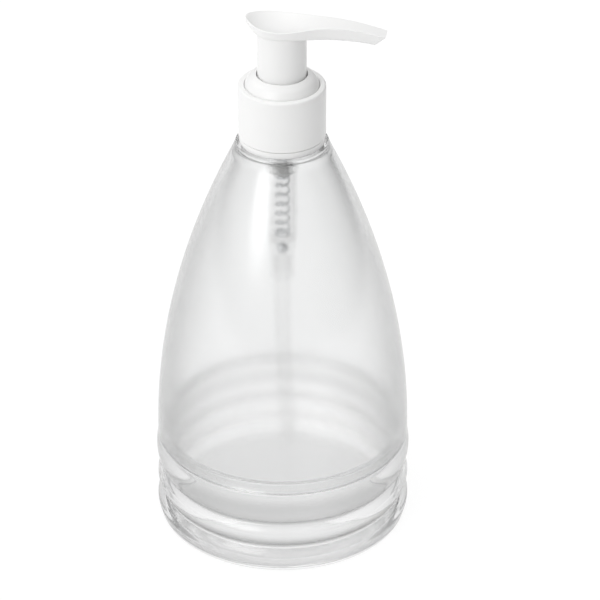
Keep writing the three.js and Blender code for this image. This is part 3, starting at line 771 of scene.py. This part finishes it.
@dataclass
class Bottle:
    """The hazed body with its threaded neck, and the clear ribbed cup that closes its foot."""

    shop: Workshop
    wall: float = 1.9 * MM
    shoulder_height: float = 154.8 * MM
    shoulder_radius: float = 17.0 * MM
    shoulder_round: float = 1.6 * MM
    neck_radius: float = 12.65 * MM
    neck_bore: float = 10.8 * MM
    thread_depth: float = 0.95 * MM
    thread_pitch: float = 4.233 * MM
    thread_rise: float = 5.0 * MM
    cup_floor: float = 4.5 * MM
    recess: float = 1.0 * MM
    foot_ring: float = 5.0 * MM
    groove_heights: tuple[float, float] = (9.8 * MM, 19.6 * MM)
    groove_depths: tuple[float, float] = (1.2 * MM, 1.5 * MM)
    groove_width: float = 1.9 * MM
    bulge: float = 0.9 * MM
    lap_wall: float = 2.0 * MM

    def body_outline(self) -> list[Point]:
        """Returns the closed outline of the body: outside, neck, bore and inside."""
        low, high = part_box("bottle_body")
        foot = high.x
        lip = high.z
        side_top = self.shoulder_height - self.shoulder_round
        outside = parabola((foot, low.z), (self.shoulder_radius, side_top), 48)
        inner_top = (self.shoulder_radius - self.wall, side_top - self.wall)
        inside = parabola((foot - self.wall, low.z), inner_top, 48)
        neck_rows = 72
        neck_length = lip - 0.6 * MM - self.shoulder_height
        neck = [
            (self.neck_radius, self.shoulder_height + neck_length * i / neck_rows)
            for i in range(1, neck_rows + 1)
        ]
        shoulder = rounded(
            [
                Corner(*outside[-1]),
                Corner(self.shoulder_radius - 0.3 * MM, self.shoulder_height, 1.6 * MM),
                Corner(self.neck_radius, self.shoulder_height),
            ],
            closed=False,
            steps=8,
        )
        mouth = rounded(
            [
                Corner(*neck[-1]),
                Corner(self.neck_radius, lip, 0.5 * MM),
                Corner(self.neck_bore, lip, 0.4 * MM),
                Corner(self.neck_bore, self.shoulder_height - 1.0 * MM, 3.0 * MM),
                Corner(*inside[-1]),
            ],
            closed=False,
            steps=8,
        )
        return [*outside[:-1], *shoulder, *neck[:-1], *mouth[:-1], *reversed(inside)]

    def groove(self, edge: float, height: float, depth: float) -> list[Point]:
        """Returns a round-bottomed groove round the base cup, from its lower edge to its upper edge."""
        corners = [
            Corner(edge, height - self.groove_width),
            Corner(edge - depth, height - 0.2 * self.groove_width, 0.5 * MM),
            Corner(edge - depth, height + 0.4 * self.groove_width, 0.4 * MM),
            Corner(edge, height + self.groove_width),
        ]
        return rounded(corners, closed=False, steps=4)

    def cup_outline(self) -> list[Point]:
        """Returns the open outline of the base cup, from the axis below to the axis above."""
        low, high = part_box("base_cup")
        widest = high.x
        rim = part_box("bottle_body")[1].x
        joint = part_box("bottle_body")[0].z - 0.3 * MM
        lower, upper = self.groove_heights
        foot = (widest - 0.5 * MM, 1.6 * MM)
        edge = widest - self.bulge
        land = joint - 1.0 * MM
        bore = rim - self.wall - 0.3 * MM - self.lap_wall
        corners_below = [
            Corner(0.0, self.recess),
            Corner(widest - self.foot_ring - 2 * self.recess, self.recess, 1.0 * MM),
            Corner(widest - self.foot_ring, low.z, 0.6 * MM),
            Corner(widest - 0.7 * MM, low.z, 1.8 * MM),
            Corner(*foot),
        ]
        corners_above = [
            Corner(rim, land),
            Corner(rim, joint, 0.5 * MM),
            Corner(rim - self.wall - 0.3 * MM, joint, 0.5 * MM),
            Corner(rim - self.wall - 0.3 * MM, high.z, 0.4 * MM),
            Corner(bore, high.z, 0.4 * MM),
            Corner(bore, self.cup_floor, 6.0 * MM),
            Corner(0.0, self.cup_floor),
        ]
        return [
            *rounded(corners_below, closed=False, steps=8),
            *bow(foot, (edge, lower - self.groove_width), self.bulge, 12),
            *self.groove(edge, lower, self.groove_depths[0]),
            *bow((edge, lower + self.groove_width), (edge, upper - self.groove_width), self.bulge, 12),
            *self.groove(edge, upper, self.groove_depths[1]),
            *bow((edge, upper + self.groove_width), (rim, land), self.bulge, 16),
            *rounded(corners_above, closed=False, steps=10),
        ]

    def build(self) -> None:
        """Builds and fits the body and the base cup."""
        body = self.shop.turn(
            "bottle_shell",
            self.body_outline(),
            FROSTED,
            facets=192,
            Thread_Depth=self.thread_depth,
            Thread_Wall=self.neck_radius,
            Thread_Pitch=self.thread_pitch,
            Thread_Start=self.shoulder_height + self.thread_rise,
            Thread_Turns=1.5,
            Thread_Crest=0.9 * MM,
            Thread_Root=1.9 * MM,
        )
        self.shop.fit(body, "bottle", FROSTED, "bottle_body")
        cup = self.shop.turn("ribbed_base", self.cup_outline(), CLEAR, closed=False, facets=192)
        self.shop.fit(cup, "bottle", CLEAR, "base_cup")


# ---------------------------------------------------------------- closure


@dataclass
class Closure:
    """The smooth collar and the threaded inner cap under it."""

    shop: Workshop
    cap_wall: float = 0.9 * MM
    cap_web: float = 1.15 * MM
    rim_height: float = 2.5 * MM
    web_hole: float = 9.95 * MM
    sleeve_bore: float = 14.9 * MM
    sleeve_top: float = 1.05 * MM
    sleeve_hole: float = 13.35 * MM
    edge_round: float = 2.0 * MM
    thread_depth: float = 0.95 * MM
    thread_pitch: float = 4.233 * MM
    thread_rise: float = 5.0 * MM

    def cap_outline(self) -> list[Point]:
        """Returns the inner cap's closed outline, with rows for its thread down the bore."""
        low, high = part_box("inner_cap")
        bore = self.sleeve_bore - 0.1 * MM - self.cap_wall
        rim = high.x
        rim_top = low.z + self.rim_height
        web_bottom = high.z - self.cap_web
        outside = rounded(
            [
                Corner(bore, low.z, 0.3 * MM),
                Corner(rim, low.z, 0.5 * MM),
                Corner(rim, rim_top, 0.4 * MM),
                Corner(bore + self.cap_wall, rim_top),
                Corner(bore + self.cap_wall, high.z, 0.3 * MM),
                Corner(self.web_hole, high.z, 0.2 * MM),
                Corner(self.web_hole, web_bottom, 0.2 * MM),
                Corner(bore, web_bottom),
            ],
            steps=4,
        )
        rows = 64
        reach = web_bottom - low.z - 0.4 * MM
        return outside + [(bore, web_bottom - reach * i / rows) for i in range(1, rows)]

    def sleeve_outline(self) -> list[Point]:
        """Returns the collar's closed outline."""
        low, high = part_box("cap_sleeve")
        return rounded(
            [
                Corner(self.sleeve_bore, low.z, 0.2 * MM),
                Corner(high.x, low.z, 0.35 * MM),
                Corner(high.x, high.z, self.edge_round),
                Corner(self.sleeve_hole, high.z, 0.35 * MM),
                Corner(self.sleeve_hole, high.z - self.sleeve_top, 0.1 * MM),
                Corner(self.sleeve_bore, high.z - self.sleeve_top, 0.2 * MM),
            ],
            steps=10,
        )

    def build(self) -> None:
        """Builds and fits the inner cap and the collar."""
        cap = self.shop.turn(
            "threaded_cap",
            self.cap_outline(),
            WHITE,
            Thread_Depth=-self.thread_depth,
            Thread_Wall=self.sleeve_bore - 0.1 * MM - self.cap_wall,
            Thread_Pitch=self.thread_pitch,
            Thread_Start=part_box("inner_cap")[0].z - 0.3 * MM + self.thread_rise - self.thread_pitch / 2,
            Thread_Turns=1.5,
            Thread_Crest=0.9 * MM,
            Thread_Root=1.7 * MM,
        )
        self.shop.fit(cap, "cap", WHITE, "inner_cap")
        sleeve = self.shop.turn("collar", self.sleeve_outline(), WHITE, facets=192)
        self.shop.fit(sleeve, "cap", WHITE, "cap_sleeve")


# ---------------------------------------------------------------- pump


@dataclass
class PumpBarrel:
    """What hangs in the neck: housing, dome ring, seals, ball cage, spring and dip tube."""

    shop: Workshop
    barrel_bore: float = 9.75 * MM
    barrel_radius: float = 10.5 * MM
    cylinder_bore: float = 4.6 * MM
    cylinder_radius: float = 5.3 * MM
    well_radius: float = 9.05 * MM
    guide_bore: float = 3.7 * MM
    guide_wall: float = 0.9 * MM
    guide_length: float = 5.5 * MM
    well_floor: float = 1.0 * MM
    bead_height: float = 12.0 * MM
    bead_rise: float = 0.4 * MM
    dome_edge: float = 1.2 * MM
    dome_lip: float = 0.5 * MM
    tube_wall: float = 0.8 * MM
    tube_sides: int = 40
    spring_wire: float = 0.7 * MM
    spring_coils: float = 9.0
    spring_closed_coils: float = 1.5
    ring_round: float = 0.25 * MM
    gasket_bore: float = 10.8 * MM
    wiper_bore: float = 3.5 * MM
    inlet_bore: float = 1.3 * MM
    ball_room: float = 2.7 * MM

    def ring_from_box(self, node: str, inner: float, finish: Finish) -> None:
        """Builds a plain rounded ring with a node's own outer size and the given inner radius."""
        low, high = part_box(node)
        corners = [
            Corner(inner, low.z, self.ring_round),
            Corner(high.x, low.z, self.ring_round),
            Corner(high.x, high.z, self.ring_round),
            Corner(inner, high.z, self.ring_round),
        ]
        piece = self.shop.turn(node + "_ring", rounded(corners), finish, facets=96)
        self.shop.fit(piece, "pump", finish, node)

    def housing_outline(self) -> list[Point]:
        """Returns the housing's closed outline: flange, barrel, cylinder, inlet seat and tube socket."""
        low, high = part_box("pump_housing")
        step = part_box("stem_wiper")[0].z - 0.15 * MM
        cylinder_top = step - 1.3 * MM
        cylinder_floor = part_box("ball_cage")[0].z - 0.1 * MM
        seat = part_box("inlet_ball")[0].z - 0.18 * MM + 0.4 * MM
        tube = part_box("dip_tube")
        tube_radius = tube[1].x + 0.1 * MM
        socket_top = tube[1].z + 0.15 * MM
        socket_radius = tube_radius + 1.1 * MM
        small = 0.3 * MM
        bead = cylinder_floor + self.bead_height
        corners = [
            Corner(high.x, high.z - 1.2 * MM, small),
            Corner(high.x, high.z, small),
            Corner(self.barrel_bore, high.z, small),
            Corner(self.barrel_bore, step, 0.5 * MM),
            Corner(self.cylinder_bore, step, small),
            Corner(self.cylinder_bore, cylinder_floor, small),
            Corner(self.ball_room, cylinder_floor, small),
            Corner(self.ball_room, seat + 1.4 * MM, small),
            Corner(self.inlet_bore, seat, 0.2 * MM),
            Corner(self.inlet_bore, socket_top, 0.2 * MM),
            Corner(tube_radius, socket_top, small),
            Corner(tube_radius, low.z, small),
            Corner(socket_radius, low.z, 0.5 * MM),
            Corner(socket_radius, seat, 2.0 * MM),
            Corner(self.cylinder_radius, cylinder_floor, 2.0 * MM),
            Corner(self.cylinder_radius, bead - 0.7 * MM, small),
            Corner(self.cylinder_radius + self.bead_rise, bead - 0.5 * MM, small),
            Corner(self.cylinder_radius + self.bead_rise, bead + 0.5 * MM, small),
            Corner(self.cylinder_radius, bead + 0.7 * MM, small),
            Corner(self.cylinder_radius, cylinder_top - 1 * MM, 1.0 * MM),
            Corner(self.cylinder_radius + 1 * MM, cylinder_top, 0.5 * MM),
            Corner(self.barrel_radius - 1 * MM, cylinder_top, 0.5 * MM),
            Corner(self.barrel_radius, cylinder_top + 1 * MM, 0.5 * MM),
            Corner(self.barrel_radius, high.z - 1.2 * MM, small),
        ]
        return rounded(corners, steps=4)

    def dome_outline(self) -> list[Point]:
        """Returns the dome ring's closed outline: dome, skirt well and stem guide."""
        low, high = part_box("chaplet")
        edge = high.x
        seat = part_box("inner_cap")[1].z + 0.15 * MM
        floor_top = low.z + self.well_floor
        outer = self.barrel_bore - 0.1 * MM
        guide = self.guide_bore + self.guide_wall
        corners = [
            Corner(edge, seat, 0.1 * MM),
            Corner(edge, seat + self.dome_edge, 0.6 * MM),
            Corner(edge - 1.6 * MM, high.z - 1.1 * MM, 2.2 * MM),
            Corner(self.well_radius + self.dome_lip, high.z, 0.5 * MM),
            Corner(self.well_radius, high.z, 0.2 * MM),
            Corner(self.well_radius, floor_top, 0.4 * MM),
            Corner(guide, floor_top, 0.3 * MM),
            Corner(guide, floor_top + self.guide_length, 0.3 * MM),
            Corner(self.guide_bore, floor_top + self.guide_length, 0.2 * MM),
            Corner(self.guide_bore, low.z, 0.2 * MM),
            Corner(outer, low.z, 0.4 * MM),
            Corner(outer, seat),
        ]
        return rounded(corners, steps=6)

    def build_spring(self) -> None:
        """Winds the return spring from the ball cage to the rod."""
        low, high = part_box("return_spring")
        length = high.z - low.z
        spring = self.shop.coil.grow(
            "spring_wire",
            bpy.data.meshes.new("spring_seed"),
            self.shop.materials[STEEL.name],
            Coils=self.spring_coils,
            Closed_Coils=self.spring_closed_coils,
            Radius=high.x - self.spring_wire / 2,
            Wire=self.spring_wire,
            Bottom=low.z,
            Length=length,
            Steps=600,
            Sides=12,
        )
        self.shop.fit(spring, "pump", STEEL, "return_spring")
        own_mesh(spring)

    def build_tube(self) -> None:
        """Bends the dip tube from its socket to the back of the bottle's floor."""
        low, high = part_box("dip_tube")
        radius = high.x
        top = Vector((0, 0, high.z))
        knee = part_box("pump_housing")[0].z - 1 * MM
        reach = high.y - 0.87 * radius
        end = Vector((-1.5 * MM, reach, low.z + 1.55 * MM))
        handles = [
            Vector((0, 0, knee)),
            Vector((0, 0, knee * 0.55)),
            Vector((0, reach * 0.4, knee * 0.35)),
            end,
        ]
        steps = 48
        path = [top]
        for i in range(steps + 1):
            t = i / steps
            weights = ((1 - t) ** 3, 3 * t * (1 - t) ** 2, 3 * t * t * (1 - t), t**3)
            path.append(sum((h * w for h, w in zip(handles, weights)), Vector()))
        rings = []
        for wall, route in ((radius, path), (radius - self.tube_wall, list(reversed(path)))):
            for i, spot in enumerate(route):
                ahead = (route[min(i + 1, len(route) - 1)] - route[max(i - 1, 0)]).normalized()
                if wall != radius:
                    ahead = -ahead
                side = Vector((1, 0, 0))
                up = ahead.cross(side).normalized()
                side = up.cross(ahead)
                turn = [FULL_TURN * k / self.tube_sides for k in range(self.tube_sides)]
                rings.append([spot + (side * math.cos(a) + up * math.sin(a)) * wall for a in turn])
        mesh = bpy.data.meshes.new("bent_tube")
        shape = bmesh.new()
        rows = [[shape.verts.new(spot) for spot in ring] for ring in rings]
        for near, far in zip(rows, [*rows[1:], rows[0]]):
            for k in range(self.tube_sides):
                nxt = (k + 1) % self.tube_sides
                shape.faces.new((near[k], near[nxt], far[nxt], far[k]))
        bmesh.ops.recalc_face_normals(shape, faces=shape.faces)
        shape.to_mesh(mesh)
        shape.free()
        mesh.materials.append(self.shop.materials[MILKY.name])
        tube = bpy.data.objects.new("bent_tube", mesh)
        bpy.context.scene.collection.objects.link(tube)
        mark_sharp(tube, SHARP_ANGLE)
        self.shop.fit(tube, "pump", MILKY, "dip_tube")

    def build(self) -> None:
        """Builds and fits every fixed piece of the pump."""
        housing = self.shop.turn("clear_barrel", self.housing_outline(), NATURAL)
        self.shop.fit(housing, "pump", NATURAL, "pump_housing")
        dome = self.shop.turn("dome_ring", self.dome_outline(), WHITE)
        self.shop.fit(dome, "pump", WHITE, "chaplet")
        self.ring_from_box("neck_gasket", self.gasket_bore, RUBBER)
        self.ring_from_box("stem_wiper", self.wiper_bore, RUBBER)
        self.ring_from_box("ball_cage", self.inlet_bore, NATURAL)
        self.build_ball("inlet_ball", "lower_ball")
        self.build_ball("outlet_ball", "upper_ball")
        self.build_spring()
        self.build_tube()

    def build_ball(self, node: str, body: str) -> None:
        """Builds a smooth check ball of a node's own size."""
        low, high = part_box(node)
        middle = (low.z + high.z) / 2
        radius = (high.z - low.z) / 2
        arc = [
            (radius * math.cos(a), middle + radius * math.sin(a))
            for a in (math.pi * (k / 32 - 0.5) for k in range(33))
        ]
        arc[0] = (0.0, low.z)
        arc[-1] = (0.0, high.z)
        piece = self.shop.turn(node + "_steel", arc, STEEL, closed=False, facets=64)
        self.shop.fit(piece, body, STEEL, node)


@dataclass
class Plunger:
    """What moves under the head when it is pressed: piston, rod and stem."""

    shop: Workshop
    stem_bore: float = 2.3 * MM
    rod_bore: float = 1.2 * MM
    rod_radius: float = 2.2 * MM

    def build(self) -> None:
        """Builds and fits the piston, the rod and the stem."""
        low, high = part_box("piston")
        inner = self.rod_radius + 0.1 * MM
        waist = (inner + high.x) / 2
        lip = 1.6 * MM
        piston = [
            Corner(inner, low.z, 0.1 * MM),
            Corner(high.x - 0.6 * MM, low.z, 0.2 * MM),
            Corner(high.x, low.z + 0.4 * lip, 0.2 * MM),
            Corner(waist, low.z + lip, 0.4 * MM),
            Corner(waist, high.z - lip, 0.4 * MM),
            Corner(high.x, high.z - 0.4 * lip, 0.2 * MM),
            Corner(high.x - 0.6 * MM, high.z, 0.2 * MM),
            Corner(inner, high.z, 0.1 * MM),
        ]
        piece = self.shop.turn("piston_seal", rounded(piston), SOFT_NATURAL, facets=96)
        self.shop.fit(piece, "plunger", SOFT_NATURAL, "piston")

        low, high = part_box("piston_rod")
        flange_top = low.z + 1 * MM
        rod = [
            Corner(0.0, low.z),
            Corner(high.x, low.z, 0.2 * MM),
            Corner(high.x, flange_top, 0.2 * MM),
            Corner(self.rod_radius, flange_top, 0.2 * MM),
            Corner(self.rod_radius, high.z, 0.2 * MM),
            Corner(self.rod_bore, high.z, 0.2 * MM),
            Corner(self.rod_bore, flange_top),
            Corner(0.0, flange_top),
        ]
        piece = self.shop.turn("hollow_rod", rounded(rod, closed=False), WHITE, closed=False, facets=96)
        self.shop.fit(piece, "plunger", WHITE, "piston_rod")

        low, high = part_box("plunger_stem")
        stem = [
            Corner(self.stem_bore, low.z, 0.15 * MM),
            Corner(high.x, low.z, 0.2 * MM),
            Corner(high.x, high.z, 0.2 * MM),
            Corner(1.3 * MM, high.z, 0.1 * MM),
            Corner(1.3 * MM, high.z - 1.1 * MM, 0.1 * MM),
            Corner(self.stem_bore, high.z - 2.2 * MM, 0.2 * MM),
        ]
        piece = self.shop.turn("stem_tube", rounded(stem), WHITE, facets=96)
        self.shop.fit(piece, "head", WHITE, "plunger_stem")


@dataclass(frozen=True)
class Station:
    """One cross-section of the head: its place along the nozzle and its size there."""

    x: float
    half: float
    top: float
    bottom: float
    dish: float
    rim: float


@dataclass
class PumpHead:
    """The head: a dished thumb pad with a lifted tip, a drooping nozzle, and the skirt under them."""

    shop: Workshop
    skirt_radius: float = 8.65 * MM
    skirt_wall: float = 1.2 * MM
    pad_height: float = 201.1 * MM
    under_height: float = 197.3 * MM
    mouth_radius: float = 1.25 * MM
    undercut: float = 4.2 * MM
    undercut_length: float = 9.0 * MM
    mouth_depth: float = 4.0 * MM
    channel_radius: float = 2.6 * MM
    socket_bottom: float = 179.4 * MM

    def stations(self) -> list[Station]:
        """Returns the cross-sections from the rear tip to the nozzle's mouth.

        Each row holds the place along the nozzle, then, in millimetres, the half width, the top and
        the bottom against the pad's and the underside's heights, the dish and the rim's width.
        """
        low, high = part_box("actuator")
        rear, tip = low.x, high.x
        pad = self.pad_height
        under = self.under_height
        rows = [
            (rear + 0.0 * MM, 0.8, 1.9, 4.4, 0.0, 0.25),
            (rear + 0.35 * MM, 1.9, 1.9, 3.9, 0.02, 0.6),
            (rear + 1.2 * MM, 3.5, 1.65, 3.3, 0.25, 0.8),
            (rear + 2.6 * MM, 5.2, 1.25, 2.4, 0.6, 0.9),
            (rear + 4.6 * MM, 6.9, 0.8, 1.1, 1.0, 1.0),
            (rear + 7.2 * MM, 8.2, 0.4, 0.2, 1.35, 1.0),
            (rear + 10.2 * MM, 8.8, 0.15, 0.0, 1.5, 1.0),
            (rear + 13.2 * MM, 8.85, 0.05, 0.0, 1.45, 1.0),
            (rear + 16.2 * MM, 8.4, 0.15, 0.0, 1.15, 1.0),
            (rear + 19.0 * MM, 7.65, 0.35, 0.0, 0.75, 1.0),
            (rear + 21.8 * MM, 6.75, 0.65, -0.05, 0.35, 0.9),
            (rear + 25.0 * MM, 5.65, 0.95, -0.1, 0.1, 0.8),
            (rear + 29.0 * MM, 4.8, 1.1, -0.15, 0.05, 0.7),
            (rear + 33.5 * MM, 4.25, 0.95, -0.25, 0.0, 0.7),
            (rear + 38.0 * MM, 3.85, 0.45, -0.55, 0.0, 0.7),
            (rear + 42.5 * MM, 3.5, -0.35, -1.05, 0.0, 0.7),
            (rear + 46.0 * MM, 3.3, -1.15, -1.4, 0.0, 0.7),
            (tip - 1.0 * MM, 3.2, -1.75, -1.65, 0.0, 0.7),
            (tip, 3.1, -1.95, -1.7, 0.0, 0.7),
        ]
        return [
            Station(x, half * MM, pad + top * MM, under + bottom * MM, dish * MM, rim * MM)
            for x, half, top, bottom, dish, rim in rows
        ]

    def section(self, s: Station, slant: float) -> list[Vector]:
        """Returns one ring of the head's cage, anticlockwise seen from the tip.

        Args:
            s: The cross-section.
            slant: How far the ring's lowest point is set back.

        Returns:
            The ring's points.
        """
        height = s.top - s.bottom
        inner = max(s.half - s.rim, 0.2 * s.half)
        half_ring = [
            (0.0, s.bottom),
            (0.5 * s.half, s.bottom),
            (0.84 * s.half, s.bottom + 0.03 * height),
            (0.965 * s.half, s.bottom + 0.2 * height),
            (0.995 * s.half, s.bottom + 0.5 * height),
            (s.half, s.top - 0.55 * MM),
            (s.half - 0.1 * MM, s.top - 0.12 * MM),
            (s.half - 0.4 * MM, s.top),
            (inner, s.top - 0.12 * s.dish),
            (0.62 * inner, s.top - 0.72 * s.dish),
            (0.0, s.top - s.dish),
        ]
        loop = half_ring + [(-y, z) for y, z in reversed(half_ring[1:-1])]
        ring = []
        for y, z in loop:
            down = (s.top - z) / height
            ring.append(Vector((s.x - slant * down, y, z)))
        return ring

    def build_shell(self) -> bpy.types.Object:
        """Lofts the pad and nozzle and sinks the outlet into the nozzle's end."""
        rings = []
        stations = self.stations()
        tip = stations[-1].x
        for s in stations:
            share = max(0.0, 1 - (tip - s.x) / self.undercut_length)
            rings.append(self.section(s, self.undercut * share * share))
        mouth = rings[-1]
        centre = sum(mouth, Vector()) / len(mouth)
        inward = Vector((-1, 0, 0.12)).normalized()
        rim = [centre + (spot - centre) * 0.93 for spot in mouth]
        hole = []
        for k, spot in enumerate(mouth):
            out = spot - centre
            angle = math.atan2(out.z, out.y)
            flat = Vector((0.0, math.cos(angle), math.sin(angle))) * self.mouth_radius
            flat.x = self.undercut * flat.z / (stations[-1].top - stations[-1].bottom)
            hole.append(centre + flat)
        deep = [spot + inward * self.mouth_depth for spot in hole]
        rings += [rim, hole, [spot + inward * 0.3 * MM for spot in hole], deep]
        shell = loft("thumb_pad_and_nozzle", rings, self.shop.materials[WHITE.name])
        subdivide(shell, 3)
        return shell

    def skirt_outline(self) -> list[Point]:
        """Returns the closed outline of the skirt with the roof and the stem socket inside it."""
        low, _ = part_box("actuator")
        top = self.under_height + 0.8 * MM
        inner = self.skirt_radius - self.skirt_wall
        roof = self.under_height - 2.8 * MM
        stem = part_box("plunger_stem")[1]
        bore = stem.x + 0.1 * MM
        socket = bore + 1.1 * MM
        corners = [
            Corner(inner, low.z, 0.3 * MM),
            Corner(self.skirt_radius, low.z, 0.3 * MM),
            Corner(self.skirt_radius, top),
            Corner(self.channel_radius, top),
            Corner(self.channel_radius, stem.z + 0.1 * MM),
            Corner(bore, stem.z + 0.1 * MM, 0.1 * MM),
            Corner(bore, self.socket_bottom, 0.3 * MM),
            Corner(socket, self.socket_bottom, 0.3 * MM),
            Corner(socket, roof, 0.4 * MM),
            Corner(inner, roof, 0.4 * MM),
        ]
        return rounded(corners, steps=5)

    def build(self) -> None:
        """Builds the head and its skirt, which together stand for the CAD actuator."""
        shell = self.build_shell()
        self.shop.fit(shell, "head", WHITE, "actuator")
        skirt = self.shop.turn("head_skirt", self.skirt_outline(), WHITE)
        self.shop.fit(skirt, "head", WHITE, "actuator")


# ---------------------------------------------------------------- studio


@dataclass
class Studio:
    """The pale floor, the soft lights and the camera."""

    azimuth: float = math.radians(8.0)
    pitch: float = math.radians(31.68)
    distance: float = 0.9748
    height: float = 0.6898
    lens: float = 188.3
    sensor: float = 36.0
    roll: float = math.radians(0.06)
    heading: float = math.radians(-0.375)
    left_light: float = 0.75
    right_light: float = 0.1
    top_light: float = 1.25
    back_light: float = 0.7
    key_light: float = 3.2
    key_way: tuple[float, float, float] = (-0.533, -0.733, 0.423)
    low_light: float = 0.1
    key_edge: tuple[float, float] = (0.92, 0.99)
    back_edge: tuple[float, float] = (0.3, 0.95)
    top_edge: tuple[float, float] = (0.2, 1.0)
    horizon: tuple[float, float] = (-0.02, 0.16)
    floor_x: tuple[float, float] = (-2.5, 0.6)
    floor_y: tuple[float, float] = (-0.6, 3.0)
    floor_grey: float = 0.14
    floor_glow: float = 0.9
    bounces: int = 32

    def add_camera(self) -> None:
        """Sets the camera at the viewing angle that the object is judged from."""
        data = bpy.data.cameras.new("view")
        data.lens = self.lens
        data.sensor_width = self.sensor
        camera = bpy.data.objects.new("view", data)
        bpy.context.scene.collection.objects.link(camera)
        around = Matrix.Rotation(self.azimuth, 4, "Z")
        spot = Matrix.Translation((0, -self.distance, self.height))
        aim = Matrix.Rotation(self.heading, 4, "Z") @ Matrix.Rotation(math.pi / 2 - self.pitch, 4, "X")
        camera.matrix_world = around @ spot @ aim @ Matrix.Rotation(self.roll, 4, "Z")
        bpy.context.scene.camera = camera

    def add_floor(self) -> None:
        """Lays a pale floor that runs far behind the bottle and ends a little in front of it."""
        mesh = bpy.data.meshes.new("floor")
        left, right = self.floor_x
        near, far = self.floor_y
        corners = [(left, near, 0), (right, near, 0), (right, far, 0), (left, far, 0)]
        mesh.from_pydata(corners, [], [(0, 1, 2, 3)])
        floor = bpy.data.objects.new("floor", mesh)
        bpy.context.scene.collection.objects.link(floor)
        floor.matrix_world = Matrix.Rotation(self.azimuth, 4, "Z")
        made = bpy.data.materials.new("pale_floor")
        made.use_nodes = True
        graph = Graph(made.node_tree)
        shader = graph.add(
            "ShaderNodeBsdfPrincipled",
            {
                "Base Color": (self.floor_grey, self.floor_grey, self.floor_grey, 1.0),
                "Roughness": 0.9,
                "Specular IOR Level": 0.0,
                "Emission Color": (1.0, 1.0, 1.0, 1.0),
                "Emission Strength": self.floor_glow,
            },
        )
        graph.add("ShaderNodeOutputMaterial", {"Surface": shader.outputs[0]})
        mesh.materials.append(made)

    def add_world(self) -> None:
        """Surrounds the set with soft light: brighter left, above and behind, dark at the horizon and below.

        The camera sees plain white; only light, reflections and refractions see the uneven room.
        """
        world = bpy.data.worlds.new("soft_room")
        bpy.context.scene.world = world
        world.use_nodes = True
        graph = Graph(world.node_tree)
        way = graph.add("ShaderNodeTexCoord").outputs["Generated"]
        turned = graph.add(
            "ShaderNodeVectorRotate", {"Vector": way, "Angle": -self.azimuth}, rotation_type="Z_AXIS"
        )
        split = graph.add("ShaderNodeSeparateXYZ", {0: turned.outputs[0]})
        side = graph.add(
            "ShaderNodeMapRange", {"Value": split.outputs["X"], "From Min": -0.9, "From Max": 0.9}
        )
        side.inputs["To Min"].default_value = self.left_light
        side.inputs["To Max"].default_value = self.right_light
        above = graph.smooth_step(split.outputs["Z"], *self.top_edge)
        lifted = graph.add("ShaderNodeMix", {0: above}, data_type="FLOAT")
        graph.feed(lifted.inputs[2], side.outputs[0])
        graph.feed(lifted.inputs[3], self.top_light)
        behind = graph.smooth_step(split.outputs["Y"], *self.back_edge)
        dimmed = graph.add("ShaderNodeMix", {0: behind}, data_type="FLOAT")
        graph.feed(dimmed.inputs[2], lifted.outputs[0])
        graph.feed(dimmed.inputs[3], self.back_light)
        facing = graph.add(
            "ShaderNodeVectorMath", {0: turned.outputs[0], 1: self.key_way}, operation="DOT_PRODUCT"
        )
        near_key = graph.smooth_step(facing.outputs["Value"], *self.key_edge)
        lit = graph.calc("ADD", dimmed.outputs[0], graph.calc("MULTIPLY", near_key, self.key_light))
        below = graph.smooth_step(split.outputs["Z"], *self.horizon)
        room = graph.add("ShaderNodeMix", {0: below}, data_type="FLOAT")
        graph.feed(room.inputs[2], self.low_light)
        graph.feed(room.inputs[3], lit)
        seen = graph.add("ShaderNodeLightPath").outputs["Is Camera Ray"]
        strength = graph.add("ShaderNodeMix", {0: seen}, data_type="FLOAT")
        graph.feed(strength.inputs[2], room.outputs[0])
        graph.feed(strength.inputs[3], 1.0)
        back = graph.add("ShaderNodeBackground", {"Color": (1, 1, 1, 1), "Strength": strength.outputs[0]})
        graph.add("ShaderNodeOutputWorld", {"Surface": back.outputs[0]})

    def build(self) -> None:
        """Builds the whole set."""
        self.add_camera()
        self.add_floor()
        self.add_world()
        view = bpy.context.scene.view_settings
        view.view_transform = "Standard"
        cycles = bpy.context.scene.cycles
        cycles.use_denoising = True
        cycles.max_bounces = self.bounces
        cycles.transmission_bounces = self.bounces
        cycles.glossy_bounces = self.bounces
        cycles.transparent_max_bounces = 16
        cycles.sample_clamp_indirect = 6.0


def main() -> None:
    """Builds the set and every sub-assembly, and reports each piece."""
    logging.basicConfig(level=logging.INFO, format="%(message)s")
    Studio().build()
    shop = Workshop()
    for assembly in (Bottle(shop), Closure(shop), PumpBarrel(shop), Plunger(shop), PumpHead(shop)):
        assembly.build()
        log.info("%s done", type(assembly).__name__)


if __name__ == "__main__":
    main()
